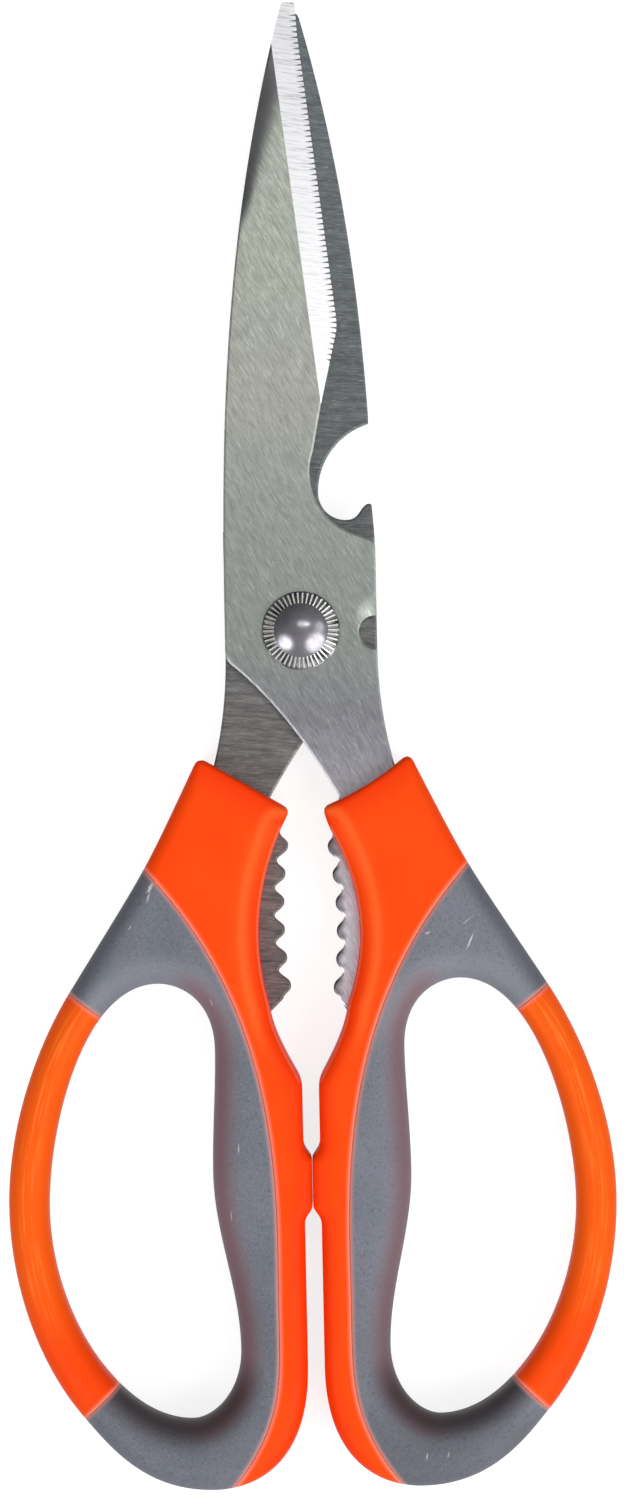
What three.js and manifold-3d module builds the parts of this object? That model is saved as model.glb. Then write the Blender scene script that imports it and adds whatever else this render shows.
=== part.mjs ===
// Multi-purpose kitchen scissors, lying flat and closed, in millimetres: +Z up, +Y towards the blade tips.
// The pivot axis is Z, and the origin is the centre of the flat back face of the pivot post.
//
// Each half is drawn in a frame of its own: the pivot at the origin, the handle on +X, the plane between
// the two blades at z = 0 and the half's own blade just above it. The rear half is that frame turned over
// about Y.
import * as THREE from "three";
import { mergeVertices } from "three/addons/utils/BufferGeometryUtils.js";
import Module from "manifold-3d";

const wasm = await Module();
wasm.setup();

// Clearances
const RUNNING_GAP = 0.1; // between the sliding blade faces, and between the pieces stacked on the pivot
const POST_CLEARANCE = 0.05; // radial, between the pivot post and what turns on it
const THREAD_CLEARANCE = 0.05; // radial, between the screw's stud and the post's bore
const TANG_CLEARANCE = 0.3; // between a tang and the frame moulded round it
const SEAM_GAP = 0.3; // between a frame and its soft grip
const STOP_GAP = 0.2; // between the stops of the closed handles

// Blades
const BLADE_THICKNESS = 2;
const BLADE_REACH = 94.3; // from the pivot to the tip
const BLADE_WIDTH = 22.8; // at the pivot
const SPINE_POWER = 2.7; // how late the spine bends in towards the tip
const TIP_SPINE = 1.1; // from the centre line to the spine, at the tip
const TIP_EDGE = 0.7; // from the centre line to the cutting edge, at the tip
const EDGE_HEEL = 45.5; // from the pivot to the end of the serrated edge
const EDGE_HEEL_OFFSET = 6.4; // from the centre line to the cutting edge, at that end
const EDGE_FOOT = 18; // from the pivot to where the ground edge of the rear blade ends
const SHOULDER_TOP = 15; // from the pivot to the top of the straight shoulder
const SPINE_FOOT = 4.2; // from the pivot down to the end of the spine
const BEVEL_WIDTH = 4.2; // of the ground edge, seen from above
const EDGE_LAND = 0.25; // blade thickness left at the cutting edge
const SERRATION_PITCH = 0.83;
const SERRATION_LENGTH = 1.2;
const SERRATION_DEPTH = 0.3;
const SERRATION_OVERHANG = 0.4; // how far a groove's cutter starts outside the edge
const SERRATION_SIDES = 4; // of a groove's cutter

// Relief in the front blade, which bares the bottle opener
const RELIEF_RADIUS = 9.95;
const RELIEF_HEIGHT = 23.5; // from the pivot to the middle of its round
const RELIEF_START = 160; // degrees round its circle
const RELIEF_END = 250;
const BEVEL_END = { x: 3.7, y: 33.8 }; // the lower point of the ground edge

// Wire notch in the front blade's shoulder
const WIRE_NOTCH_RADIUS = 2.5;
const WIRE_NOTCH_DEPTH = 3;

// Bottle opener in the rear blade's spine
const OPENER_HEIGHT = 20.6; // from the pivot to the deepest point
const OPENER_DEPTH = 8.4; // in from the shoulder
const OPENER_LIP_RADIUS = 10.7;
const OPENER_THROAT_RADIUS = 4.1;
const OPENER_THROAT_END = -130; // degrees round the throat's circle
const HOOK_WIDTH = 1.2;
const HOOK_DROP = 1.6; // from the deepest point down to the hook's tip

// Tang and nutcracker teeth
const TANG_BEND = { x: -2.8, y: -10.9 }; // control point of the tang's inner edge
const TANG_SHOULDER = 2.6; // from the pivot down to where the shoulder starts to bend out
const TANG_FLARE = 12; // from the pivot down to the control point of the bend
const TANG_BULGE_TOP = { x: 17.5, y: -33 }; // control points of the tang's outer edge inside the handle
const TANG_BULGE_LOW = { x: 16.5, y: -46 };
const TOE_LENGTH = 2.2; // of the tang, below its last tooth
const TOE_SETBACK = 2.9; // of the tang's toe, from the tooth tips
const TOE_WIDTH = 2.8;
const JAW_TOP = 30.2; // from the pivot down to the first tooth
const JAW_GAP = 6.2; // between the outermost tooth tips of the closed jaws
const JAW_HOLLOW = 0.85; // how far the row of teeth is hollowed at its middle
const TOOTH_COUNT = 6;
const TOOTH_PITCH = 4.15;
const TOOTH_DEPTH = 1.35;
const TOOTH_FULLNESS = 1.4; // over 1, the tips are broader than the gaps
const ANCHOR_DIAMETER = 4; // of the holes in the tang that the moulding runs through
const ANCHOR_SETBACK = 7.2; // from the tooth tips
const ANCHOR_DROPS = [3.8, 15.8]; // from the first tooth down

// Pivot
const POST_DIAMETER = 5;
const POST_FLANGE_DIAMETER = 9.4;
const POST_FLANGE_HEIGHT = 1.2;
const POST_BORE_DEPTH = 4.6;
const STUD_DIAMETER = 3;
const STUD_LENGTH = 4;
const DOME_DIAMETER = 8.1;
const DOME_RIM = 0.3; // straight edge below the dome
const DOME_RISE = 1.9;
const FLUTED_DIAMETER = 11.7;
const FLUTED_HEIGHT = 1.1;
const FLUTED_RIM = 0.6; // its height at the outer edge
const FLUTE_COUNT = 46;
const FLUTE_DEPTH = 0.3;
const SPRING_DIAMETER = 8.6;
const SPRING_THICKNESS = 0.4;
const SPRING_CONE = 0.3; // how far the spring washer is dished

// Handle frame
const HANDLE_THICKNESS = 12;
const BOW_THICKNESS = 9;
const HANDLE_ROUND = 2.4; // rounding of the handle's edges
const ROUND_LIMIT = 0.42; // the largest rounding, as a share of the bow's width
const NECK_ANGLE = 30.85; // degrees between the neck and the centre line
const NECK_REACH = 24.1; // from the pivot to the mouth of the neck
const NECK_WIDTH = 15;
const NECK_SHIFT = -3.5; // of the neck's middle, sideways from the pivot
const NECK_WALL = 2.65; // beside the tang at the mouth
const NECK_MOUTH_THICKNESS = 8.4;
const NECK_TAPER = 8; // length over which the neck thickens from its mouth
const ARM_START = { heading: -63.7, after: 20.2 }; // degrees from +X, and the reach of the curve
const ARM_END = { heading: -57.3, before: 24.5, after: 9.3 };
const BOW_WIDTH = 6;
const BOW_FOOT_WIDTH = 7.1; // where the bow runs back into the grip
const BOW_TURN = { rise: 0.5, before: 12, after: 12.9 }; // the bow's outermost point, over the loop's
const BOW_END = { heading: -130.9, before: 9.3, after: 5 };
const BASE_WIDTH = 10.4; // below the finger loop
const BASE_TURN = { x: 15.6, before: 10.6, after: 6.9 }; // the lowest point
const HANDLE_GAP = 2.5; // between the straight inner sides of the closed handles
const STRIP_FOOT = { rise: 18.2, before: 13.8 }; // lower end of the straight inner side, over the base
const STRIP_HEAD = 67.3; // from the pivot down to its upper end
const STOP_DEPTH = 82.6; // from the pivot down to the middle of the stop
const STOP_LENGTH = 7.3;
const STOP_RAMP = 1.7; // length of the slope at each end of the stop
const RECESS_FOOT = { setback: 2.7, overrun: 0.9, rise: 3.5 }; // of the tooth recess, from the tooth tips
const RECESS_HEAD = { setback: 0.9, drop: 3.2 }; // from the tooth tips, and below the neck's inner corner
const RECESS_BEND = 6.9; // control point of the recess, from the tooth tips

// Finger loop: its turning points, and how far each one's curve reaches before and after it
const LOOP_TOP = 52.4; // from the pivot down to the crown
const LOOP_LENGTH = 65.4; // from the crown down to the base
const LOOP_REACH = 39.5; // from the centre line to the loop's outermost point
const LOOP_CROWN = { x: 22.6, before: 11.7, after: 3 };
const LOOP_THROAT = { x: 14.2, drop: 10.2, before: 8, after: 5.5 }; // dropped from the crown
const LOOP_WAIST = { x: 14.85, drop: 28.6, before: 6.4, after: 9 };
const LOOP_OUTER = { drop: 33.6, before: 15.7, after: 13.3 };
const LOOP_HEEL = { x: 11.2, rise: 10.6, before: 8.9, after: 7 }; // raised from the base
const LOOP_BASE = { x: 18.6, before: 3, after: 11 };

// Soft grip
const GRIP_SKIN = 1.5; // its thickness over the frame's core
const CORE_ROUND = 0.3; // rounding of that core
const STRIP_WIDTH = 4.15; // of the hard strip beside the grip
const SEAM_HEAD = { at: 0.505, heading: -132.5, after: 30.8 }; // share of the arm's curve, degrees, reach
const SEAM_TURN = { rise: 27.8, before: 15.7, after: 11.7 }; // over the base
const SEAM_FOOT = { at: 0.145, heading: -52.5, before: 13.1 }; // share of the base's curve, degrees, reach
const BOW_FOOT_AT = 0.36; // where the bow leaves the grip: shares of the loop's outer curves
const BOW_HEAD_AT = 0.7;

// Fineness of the model
const CURVE_STEPS = 9;
const SPINE_STEPS = 16;
const TOOTH_STEPS = 8;
const ROUND_STEPS = 3;
const TURNED_STEPS = 32;
const MARGIN = 6; // how far cutters reach past what they cut
const SQUARE = 90; // degrees from a circle's radius to its tangent

// Colours from the photograph
const STEEL_LIGHT = { color: 0xa3a59d, roughness: 0.38, metalness: 1 };
const STEEL_DARK = { color: 0x8a8f92, roughness: 0.36, metalness: 1 };
const STEEL_BRIGHT = { color: 0xd0d2d4, roughness: 0.15, metalness: 1 };
const ORANGE = { color: 0xff4e10, roughness: 0.4, metalness: 0 };
const GREY = { color: 0x6c717c, roughness: 0.75, metalness: 0 };

// Heights, from the flat back of the post
const springBottom = POST_FLANGE_HEIGHT + RUNNING_GAP;
const springTop = springBottom + SPRING_THICKNESS + SPRING_CONE;
const slidingPlane = springTop + RUNNING_GAP + BLADE_THICKNESS + RUNNING_GAP / 2;
const blade = { low: RUNNING_GAP / 2, high: RUNNING_GAP / 2 + BLADE_THICKNESS }; // in a half's own frame
const flutedBottom = slidingPlane + blade.high + RUNNING_GAP;
const flutedTop = flutedBottom + FLUTED_HEIGHT;
const domeBottom = flutedTop + RUNNING_GAP;

// Solids: from a closed geometry, and back into a named mesh
function solid(geometry) {
  const bare = new THREE.BufferGeometry();
  bare.setAttribute("position", geometry.getAttribute("position"));
  bare.setIndex(geometry.getIndex());
  const merged = mergeVertices(bare);
  const corners = merged.getIndex().array;
  const kept = [];
  for (let i = 0; i < corners.length; i += 3) {
    const triangle = [corners[i], corners[i + 1], corners[i + 2]];
    if (new Set(triangle).size === 3) {
      kept.push(...triangle);
    }
  }
  const vertProperties = Float32Array.from(merged.getAttribute("position").array);
  const triVerts = Uint32Array.from(kept);
  return new wasm.Manifold(new wasm.Mesh({ numProp: 3, vertProperties, triVerts }));
}

function piece(name, body, finish) {
  const { vertProperties, triVerts } = body.getMesh();
  const geometry = new THREE.BufferGeometry();
  geometry.setAttribute("position", new THREE.BufferAttribute(vertProperties, 3));
  geometry.setIndex(new THREE.BufferAttribute(triVerts, 1));
  geometry.computeVertexNormals();
  const mesh = new THREE.Mesh(geometry, new THREE.MeshStandardMaterial(finish));
  mesh.name = name;
  return mesh;
}

function prism(shape, low, high) {
  const options = { depth: high - low, bevelEnabled: false, curveSegments: CURVE_STEPS };
  return new THREE.ExtrudeGeometry(shape, options).translate(0, 0, low);
}

// A prism that stands clear of the given one by the same amount all round
function grownPrism(shape, low, high, growth) {
  const options = {
    depth: high - low,
    bevelThickness: growth,
    bevelSize: growth,
    bevelSegments: 1,
    curveSegments: CURVE_STEPS,
  };
  return new THREE.ExtrudeGeometry(shape, options).translate(0, 0, low);
}

// A plate with rounded edges, as thick above z = 0 as below, drawn in from its outline by the inset
function roundedPlate(shape, thickness, round, steps, inset) {
  const straight = thickness / 2 - inset - round;
  const options = {
    depth: 2 * straight,
    bevelThickness: round,
    bevelSize: round,
    bevelOffset: -round - inset,
    bevelSegments: steps,
    curveSegments: CURVE_STEPS,
  };
  return new THREE.ExtrudeGeometry(shape, options).translate(0, 0, -straight);
}

// A turned piece about Z, from a profile of [radius, height] points
function turned(profile, steps) {
  const points = profile.map(([radius, height]) => new THREE.Vector2(radius, height));
  return new THREE.LatheGeometry(points, steps).rotateX(Math.PI / 2);
}

function circle(x, y, radius) {
  return new THREE.Path().absarc(x, y, radius, 0, 2 * Math.PI);
}

// A point some way along a heading, given in degrees from +X
function ahead({ x, y, heading }, reach) {
  const angle = THREE.MathUtils.degToRad(heading);
  return new THREE.Vector2(x + reach * Math.cos(angle), y + reach * Math.sin(angle));
}

// The smooth curve between two turning points
function bend(start, end) {
  const points = [
    new THREE.Vector2(start.x, start.y),
    ahead(start, start.after),
    ahead(end, -end.before),
    new THREE.Vector2(end.x, end.y),
  ];
  return new THREE.CubicBezierCurve(...points);
}

// A point of the neck: how far from the pivot along it, and how far across it towards the outside
const neckTurn = THREE.MathUtils.degToRad(NECK_ANGLE);
const neckAlong = new THREE.Vector3(Math.sin(neckTurn), -Math.cos(neckTurn), 0);
const neckAcross = new THREE.Vector3(Math.cos(neckTurn), Math.sin(neckTurn), 0);

function neckPoint(along, across) {
  const point = neckAlong.clone().multiplyScalar(along).addScaledVector(neckAcross, across);
  return new THREE.Vector2(point.x, point.y);
}

const neckOuter = neckPoint(NECK_REACH, NECK_SHIFT + NECK_WIDTH / 2);
const neckInner = neckPoint(NECK_REACH, NECK_SHIFT - NECK_WIDTH / 2);
const tangOuter = neckPoint(NECK_REACH, NECK_SHIFT + NECK_WIDTH / 2 - NECK_WALL);
const tangInner = neckPoint(NECK_REACH, NECK_SHIFT - NECK_WIDTH / 2 + NECK_WALL);

// Blades
const shoulder = BLADE_WIDTH / 2;
const toothTips = JAW_GAP / 2;
const jawLength = TOOTH_COUNT * TOOTH_PITCH;
const jawFoot = JAW_TOP + jawLength;
const edgeSlope = (EDGE_HEEL_OFFSET - TIP_EDGE) / (BLADE_REACH - EDGE_HEEL);

function edgeAt(height) {
  return new THREE.Vector2(TIP_EDGE + edgeSlope * (BLADE_REACH - height), height);
}

function spinePoints() {
  const points = [];
  for (let i = SPINE_STEPS; i >= 0; i -= 1) {
    const share = i / SPINE_STEPS;
    const offset = shoulder - (shoulder - TIP_SPINE) * share ** SPINE_POWER;
    points.push(new THREE.Vector2(-offset, BLADE_REACH * share));
  }
  return points;
}

function toothPoints() {
  const points = [];
  const steps = TOOTH_COUNT * TOOTH_STEPS;
  for (let i = 0; i <= steps; i += 1) {
    const share = i / steps;
    const hollow = JAW_HOLLOW * (1 - (2 * share - 1) ** 2);
    const wave = (1 + Math.cos(2 * Math.PI * TOOTH_COUNT * share)) / 2;
    const depth = TOOTH_DEPTH * wave ** TOOTH_FULLNESS;
    points.push(new THREE.Vector2(toothTips + hollow + depth, -JAW_TOP - jawLength * share));
  }
  return points;
}

function bladeOutline() {
  const outline = new THREE.Shape();
  const toe = { x: toothTips + TOE_SETBACK, y: -jawFoot - TOE_LENGTH };
  outline.moveTo(TIP_EDGE, BLADE_REACH);
  spinePoints().forEach((point) => outline.lineTo(point.x, point.y));
  outline.lineTo(-shoulder, -SPINE_FOOT);
  outline.quadraticCurveTo(TANG_BEND.x, TANG_BEND.y, tangInner.x, tangInner.y);
  toothPoints().forEach((point) => outline.lineTo(point.x, point.y));
  outline.lineTo(toe.x, toe.y);
  outline.lineTo(toe.x + TOE_WIDTH, toe.y);
  outline.bezierCurveTo(
    TANG_BULGE_LOW.x, TANG_BULGE_LOW.y, TANG_BULGE_TOP.x, TANG_BULGE_TOP.y, tangOuter.x, tangOuter.y,
  );
  outline.quadraticCurveTo(shoulder, -TANG_FLARE, shoulder, -TANG_SHOULDER);
  outline.lineTo(shoulder, SHOULDER_TOP);
  outline.lineTo(edgeAt(EDGE_FOOT).x, EDGE_FOOT);
  outline.closePath();
  ANCHOR_DROPS.forEach((drop) => {
    outline.holes.push(circle(toothTips + ANCHOR_SETBACK, -JAW_TOP - drop, ANCHOR_DIAMETER / 2));
  });
  outline.holes.push(circle(0, 0, POST_DIAMETER / 2 + POST_CLEARANCE));
  return outline;
}

// The frame of the ground edge: X along the edge to the tip, Y up the slope from the edge, Z out of it
const edgeFoot = edgeAt(EDGE_FOOT);
const edgeLength = edgeFoot.distanceTo(edgeAt(BLADE_REACH));
const bevelSlope = Math.atan((BLADE_THICKNESS - EDGE_LAND) / BEVEL_WIDTH);

function edgeFrame() {
  const along = new THREE.Vector3(-edgeSlope, 1, 0).normalize();
  const inward = new THREE.Vector3(-along.y, along.x, 0).multiplyScalar(Math.cos(bevelSlope));
  const upSlope = inward.setZ(Math.sin(bevelSlope));
  const out = along.clone().cross(upSlope);
  const frame = new THREE.Matrix4().makeBasis(along, upSlope, out);
  return frame.setPosition(edgeFoot.x, edgeFoot.y, blade.low + EDGE_LAND);
}

function bevelCutter() {
  const length = edgeLength + MARGIN;
  const slopeLength = BEVEL_WIDTH / Math.cos(bevelSlope) + MARGIN;
  const box = new THREE.BoxGeometry(length, slopeLength + MARGIN, MARGIN);
  box.translate(length / 2, slopeLength / 2 - MARGIN / 2, MARGIN / 2);
  return solid(box.applyMatrix4(edgeFrame()));
}

function serrationCutter() {
  const first = edgeFoot.distanceTo(edgeAt(EDGE_HEEL));
  const count = Math.floor((edgeLength - first) / SERRATION_PITCH);
  const length = SERRATION_LENGTH + SERRATION_OVERHANG;
  const radius = (SERRATION_DEPTH * length) / SERRATION_LENGTH;
  const grooves = [];
  for (let i = 0; i < count; i += 1) {
    const groove = new THREE.ConeGeometry(radius, length, SERRATION_SIDES);
    groove.translate(first + (i + 0.5) * SERRATION_PITCH, length / 2 - SERRATION_OVERHANG, 0);
    grooves.push(solid(groove.applyMatrix4(edgeFrame())));
  }
  return grooves.reduce((joined, groove) => joined.add(groove));
}

function reliefCutter() {
  const relief = new THREE.Shape();
  const centre = { x: shoulder, y: RELIEF_HEIGHT };
  const [start, end] = [RELIEF_START, RELIEF_END].map(THREE.MathUtils.degToRad);
  const bevelEnd = new THREE.Vector2(BEVEL_END.x, BEVEL_END.y);
  const heelLine = edgeAt(EDGE_HEEL).sub(bevelEnd);
  const beyondHeel = heelLine.setLength(heelLine.length() + MARGIN).add(bevelEnd);
  const exit = {
    x: centre.x + RELIEF_RADIUS * Math.cos(end),
    y: centre.y + RELIEF_RADIUS * Math.sin(end),
    heading: RELIEF_END + SQUARE,
  };
  const outside = ahead(exit, RELIEF_RADIUS);
  relief.moveTo(beyondHeel.x, beyondHeel.y);
  relief.lineTo(bevelEnd.x, bevelEnd.y);
  relief.absarc(centre.x, centre.y, RELIEF_RADIUS, start, end);
  relief.lineTo(outside.x, outside.y);
  relief.lineTo(outside.x, beyondHeel.y);
  return solid(prism(relief, -MARGIN, MARGIN));
}

function wireNotchCutter() {
  const notch = new THREE.CylinderGeometry(WIRE_NOTCH_RADIUS, WIRE_NOTCH_RADIUS, 2 * MARGIN, TURNED_STEPS);
  notch.rotateX(Math.PI / 2).translate(shoulder - WIRE_NOTCH_DEPTH + WIRE_NOTCH_RADIUS, 0, 0);
  return solid(notch);
}

function openerCutter() {
  const opener = new THREE.Shape();
  const deepest = shoulder - OPENER_DEPTH;
  const hookTip = OPENER_HEIGHT - HOOK_DROP;
  const throatEnd = THREE.MathUtils.degToRad(OPENER_THROAT_END);
  opener.absarc(-deepest - OPENER_LIP_RADIUS, OPENER_HEIGHT, OPENER_LIP_RADIUS, 0, Math.PI / 2);
  opener.lineTo(-shoulder - MARGIN, OPENER_HEIGHT + OPENER_LIP_RADIUS);
  opener.lineTo(-shoulder - MARGIN, hookTip);
  opener.lineTo(HOOK_WIDTH - shoulder, hookTip);
  opener.absarc(-deepest - OPENER_THROAT_RADIUS, OPENER_HEIGHT, OPENER_THROAT_RADIUS, throatEnd, 0);
  return solid(prism(opener, -MARGIN, MARGIN));
}

function stampedBlade() {
  return solid(prism(bladeOutline(), blade.low, blade.high));
}

function frontBlade() {
  const stamped = stampedBlade().subtract(reliefCutter()).subtract(wireNotchCutter());
  return stamped.subtract(bevelCutter()).subtract(serrationCutter());
}

function rearBlade() {
  return stampedBlade().subtract(openerCutter()).subtract(bevelCutter());
}

// Finger loop, drawn anticlockwise from its crown
const crown = { ...LOOP_CROWN, y: -LOOP_TOP, heading: 180 };
const throat = { ...LOOP_THROAT, y: crown.y - LOOP_THROAT.drop, heading: -90 };
const waist = { ...LOOP_WAIST, y: crown.y - LOOP_WAIST.drop, heading: -90 };
const outer = { ...LOOP_OUTER, x: LOOP_REACH, y: crown.y - LOOP_OUTER.drop, heading: 90 };
const base = { ...LOOP_BASE, y: crown.y - LOOP_LENGTH, heading: 0 };
const heel = { ...LOOP_HEEL, y: base.y + LOOP_HEEL.rise, heading: -90 };
const loopLower = bend(base, outer);
const loopUpper = bend(outer, crown);

function fingerLoop() {
  const loop = new THREE.Path();
  loop.curves = [
    bend(crown, throat), bend(throat, waist), bend(waist, heel), bend(heel, base), loopLower, loopUpper,
  ];
  return loop;
}

// A cut across the bow, square to the finger loop at a share of one of its curves
function bowCut(curve, share, width) {
  const point = curve.getPoint(share);
  const tangent = curve.getTangent(share);
  const outward = new THREE.Vector2(tangent.y, -tangent.x);
  return {
    inside: point.clone().addScaledVector(outward, -width),
    rim: point.clone().addScaledVector(outward, width),
    outside: point.clone().addScaledVector(outward, width + MARGIN),
  };
}

const bowHead = bowCut(loopUpper, BOW_HEAD_AT, BOW_WIDTH);
const bowFoot = bowCut(loopLower, BOW_FOOT_AT, BOW_FOOT_WIDTH);

// Handle outline: the arm, the bow in two curves, and the base in two
const armStart = { ...ARM_START, x: neckOuter.x, y: neckOuter.y };
const armEnd = { ...ARM_END, x: bowHead.rim.x, y: bowHead.rim.y };
const bowTurn = { ...BOW_TURN, x: outer.x + BOW_WIDTH, y: outer.y + BOW_TURN.rise, heading: -90 };
const bowEnd = { ...BOW_END, x: bowFoot.rim.x, y: bowFoot.rim.y };
const baseTurn = { ...BASE_TURN, y: base.y - BASE_WIDTH, heading: 180 };
const stripFoot = { ...STRIP_FOOT, x: HANDLE_GAP / 2, y: baseTurn.y + STRIP_FOOT.rise, heading: 90 };
const armCurve = bend(armStart, armEnd);
const baseCurve = bend(baseTurn, stripFoot);

function handleOutline() {
  const outline = new THREE.Shape();
  const side = HANDLE_GAP / 2;
  const stopLow = -STOP_DEPTH - STOP_LENGTH / 2;
  const stopHigh = -STOP_DEPTH + STOP_LENGTH / 2;
  const recessFoot = { x: toothTips + RECESS_FOOT.setback, y: -jawFoot - RECESS_FOOT.overrun };
  const recessHead = { x: toothTips + RECESS_HEAD.setback, y: neckInner.y - RECESS_HEAD.drop };
  const recessMiddle = (recessFoot.y + recessHead.y) / 2;
  outline.curves = [
    armCurve, bend(armEnd, bowTurn), bend(bowTurn, bowEnd), bend(bowEnd, baseTurn), baseCurve,
  ];
  outline.currentPoint.set(stripFoot.x, stripFoot.y);
  outline.lineTo(side, stopLow - STOP_RAMP);
  outline.lineTo(STOP_GAP / 2, stopLow);
  outline.lineTo(STOP_GAP / 2, stopHigh);
  outline.lineTo(side, stopHigh + STOP_RAMP);
  outline.lineTo(side, -STRIP_HEAD);
  outline.quadraticCurveTo(recessFoot.x, recessFoot.y - RECESS_FOOT.rise, recessFoot.x, recessFoot.y);
  outline.quadraticCurveTo(toothTips + RECESS_BEND, recessMiddle, recessHead.x, recessHead.y);
  outline.lineTo(neckInner.x, neckInner.y);
  outline.closePath();
  outline.holes.push(fingerLoop());
  return outline;
}

// The bow is thinner than the rest of the handle, and thins out from the middle of the loop
function thinBow(geometry) {
  const position = geometry.getAttribute("position");
  for (let i = 0; i < position.count; i += 1) {
    const share = THREE.MathUtils.smoothstep(position.getX(i), LOOP_CROWN.x, LOOP_REACH);
    const thickness = THREE.MathUtils.lerp(HANDLE_THICKNESS, BOW_THICKNESS, share);
    position.setZ(i, (position.getZ(i) * thickness) / HANDLE_THICKNESS);
  }
  return geometry;
}

// Roundings stay within the bow, the handle's narrowest wall
const largestRound = ROUND_LIMIT * BOW_WIDTH;
const handleRound = Math.min(HANDLE_ROUND, largestRound);
const coreRound = Math.min(CORE_ROUND, largestRound - GRIP_SKIN - SEAM_GAP);

function wholeHandle() {
  return solid(thinBow(roundedPlate(handleOutline(), HANDLE_THICKNESS, handleRound, ROUND_STEPS, 0)));
}

function handleCore(inset) {
  return solid(thinBow(roundedPlate(handleOutline(), HANDLE_THICKNESS, coreRound, 1, inset)));
}

// The part of the handle, seen from above, that the soft grip covers
function gripRegion() {
  const seamTurnHeight = baseTurn.y + SEAM_TURN.rise;
  const armPoint = armCurve.getPoint(SEAM_HEAD.at);
  const basePoint = baseCurve.getPoint(SEAM_FOOT.at);
  const head = { ...SEAM_HEAD, x: armPoint.x, y: armPoint.y };
  const turn = { ...SEAM_TURN, x: HANDLE_GAP / 2 + STRIP_WIDTH, y: seamTurnHeight, heading: -90 };
  const foot = { ...SEAM_FOOT, x: basePoint.x, y: basePoint.y };
  const beyondHead = ahead(head, -MARGIN);
  const beyondFoot = ahead(foot, MARGIN);
  const region = new THREE.Shape();
  region.moveTo(beyondHead.x, beyondHead.y);
  region.lineTo(head.x, head.y);
  region.curves.push(bend(head, turn), bend(turn, foot));
  region.currentPoint.set(foot.x, foot.y);
  region.lineTo(beyondFoot.x, beyondFoot.y);
  region.lineTo(bowTurn.x, beyondFoot.y);
  [bowFoot.outside, bowFoot.inside, bowHead.inside, bowHead.outside].forEach((point) => {
    region.lineTo(point.x, point.y);
  });
  region.closePath();
  return region;
}

// What is taken off the top or the bottom of the neck, so that it thins towards its mouth
function neckTaper(side) {
  const wedge = new THREE.Shape();
  const full = HANDLE_THICKNESS / 2;
  const mouth = NECK_MOUTH_THICKNESS / 2;
  const drop = ((full - mouth) * MARGIN) / NECK_TAPER;
  wedge.moveTo(-MARGIN, side * (mouth - drop));
  wedge.lineTo(NECK_TAPER, side * full);
  wedge.lineTo(NECK_TAPER, side * (full + MARGIN));
  wedge.lineTo(-MARGIN, side * (full + MARGIN));
  const up = new THREE.Vector3(0, 0, 1);
  const origin = neckPoint(NECK_REACH, NECK_SHIFT);
  const frame = new THREE.Matrix4().makeBasis(neckAlong, up, neckAcross.clone().negate());
  frame.setPosition(origin.x, origin.y, 0);
  return solid(prism(wedge, -NECK_WIDTH, NECK_WIDTH).applyMatrix4(frame));
}

function tangPocket() {
  return solid(grownPrism(bladeOutline(), blade.low, blade.high, TANG_CLEARANCE));
}

function handleFrame() {
  const underGrip = solid(grownPrism(gripRegion(), -HANDLE_THICKNESS, HANDLE_THICKNESS, SEAM_GAP));
  const shell = wholeHandle().subtract(underGrip).subtract(neckTaper(1)).subtract(neckTaper(-1));
  return shell.add(handleCore(GRIP_SKIN + SEAM_GAP)).subtract(tangPocket());
}

function softGrip() {
  const covered = solid(prism(gripRegion(), -HANDLE_THICKNESS, HANDLE_THICKNESS));
  return wholeHandle().intersect(covered).subtract(handleCore(GRIP_SKIN)).subtract(tangPocket());
}

// Pivot
function pivotPost() {
  const radius = POST_DIAMETER / 2;
  const bore = STUD_DIAMETER / 2 + THREAD_CLEARANCE;
  const top = domeBottom - RUNNING_GAP;
  const profile = [
    [0, 0],
    [POST_FLANGE_DIAMETER / 2, 0],
    [POST_FLANGE_DIAMETER / 2, POST_FLANGE_HEIGHT],
    [radius, POST_FLANGE_HEIGHT],
    [radius, top],
    [bore, top],
    [bore, top - POST_BORE_DEPTH],
    [0, top - POST_BORE_DEPTH],
  ];
  return solid(turned(profile, TURNED_STEPS));
}

function tensionWasher() {
  const bore = POST_DIAMETER / 2 + POST_CLEARANCE;
  const rim = SPRING_DIAMETER / 2;
  const profile = [
    [bore, springBottom],
    [rim, springBottom + SPRING_CONE],
    [rim, springTop],
    [bore, springTop - SPRING_CONE],
    [bore, springBottom],
  ];
  return solid(turned(profile, TURNED_STEPS));
}

// The flutes: every second step round the washer's cone is pressed in
function flutedWasher() {
  const bore = POST_DIAMETER / 2 + POST_CLEARANCE;
  const rim = FLUTED_DIAMETER / 2;
  const profile = [
    [bore, flutedBottom],
    [rim, flutedBottom],
    [rim, flutedBottom + FLUTED_RIM],
    [DOME_DIAMETER / 2, flutedTop],
    [bore, flutedTop],
    [bore, flutedBottom],
  ];
  const rimPoint = 2; // the third point of the profile
  const washer = turned(profile, 2 * FLUTE_COUNT);
  const position = washer.getAttribute("position");
  for (let step = 1; step < 2 * FLUTE_COUNT; step += 2) {
    const point = step * profile.length + rimPoint;
    position.setZ(point, position.getZ(point) - FLUTE_DEPTH);
  }
  return solid(washer);
}

function pivotScrew() {
  const rim = DOME_DIAMETER / 2;
  const domeFoot = domeBottom + DOME_RIM;
  const stud = STUD_DIAMETER / 2;
  const profile = [
    [0, domeBottom - STUD_LENGTH],
    [stud, domeBottom - STUD_LENGTH],
    [stud, domeBottom],
    [rim, domeBottom],
  ];
  for (let i = 0; i <= CURVE_STEPS; i += 1) {
    const angle = ((i / CURVE_STEPS) * Math.PI) / 2;
    profile.push([rim * Math.cos(angle), domeFoot + DOME_RISE * Math.sin(angle)]);
  }
  profile.at(-1)[0] = 0;
  return solid(turned(profile, TURNED_STEPS));
}

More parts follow.
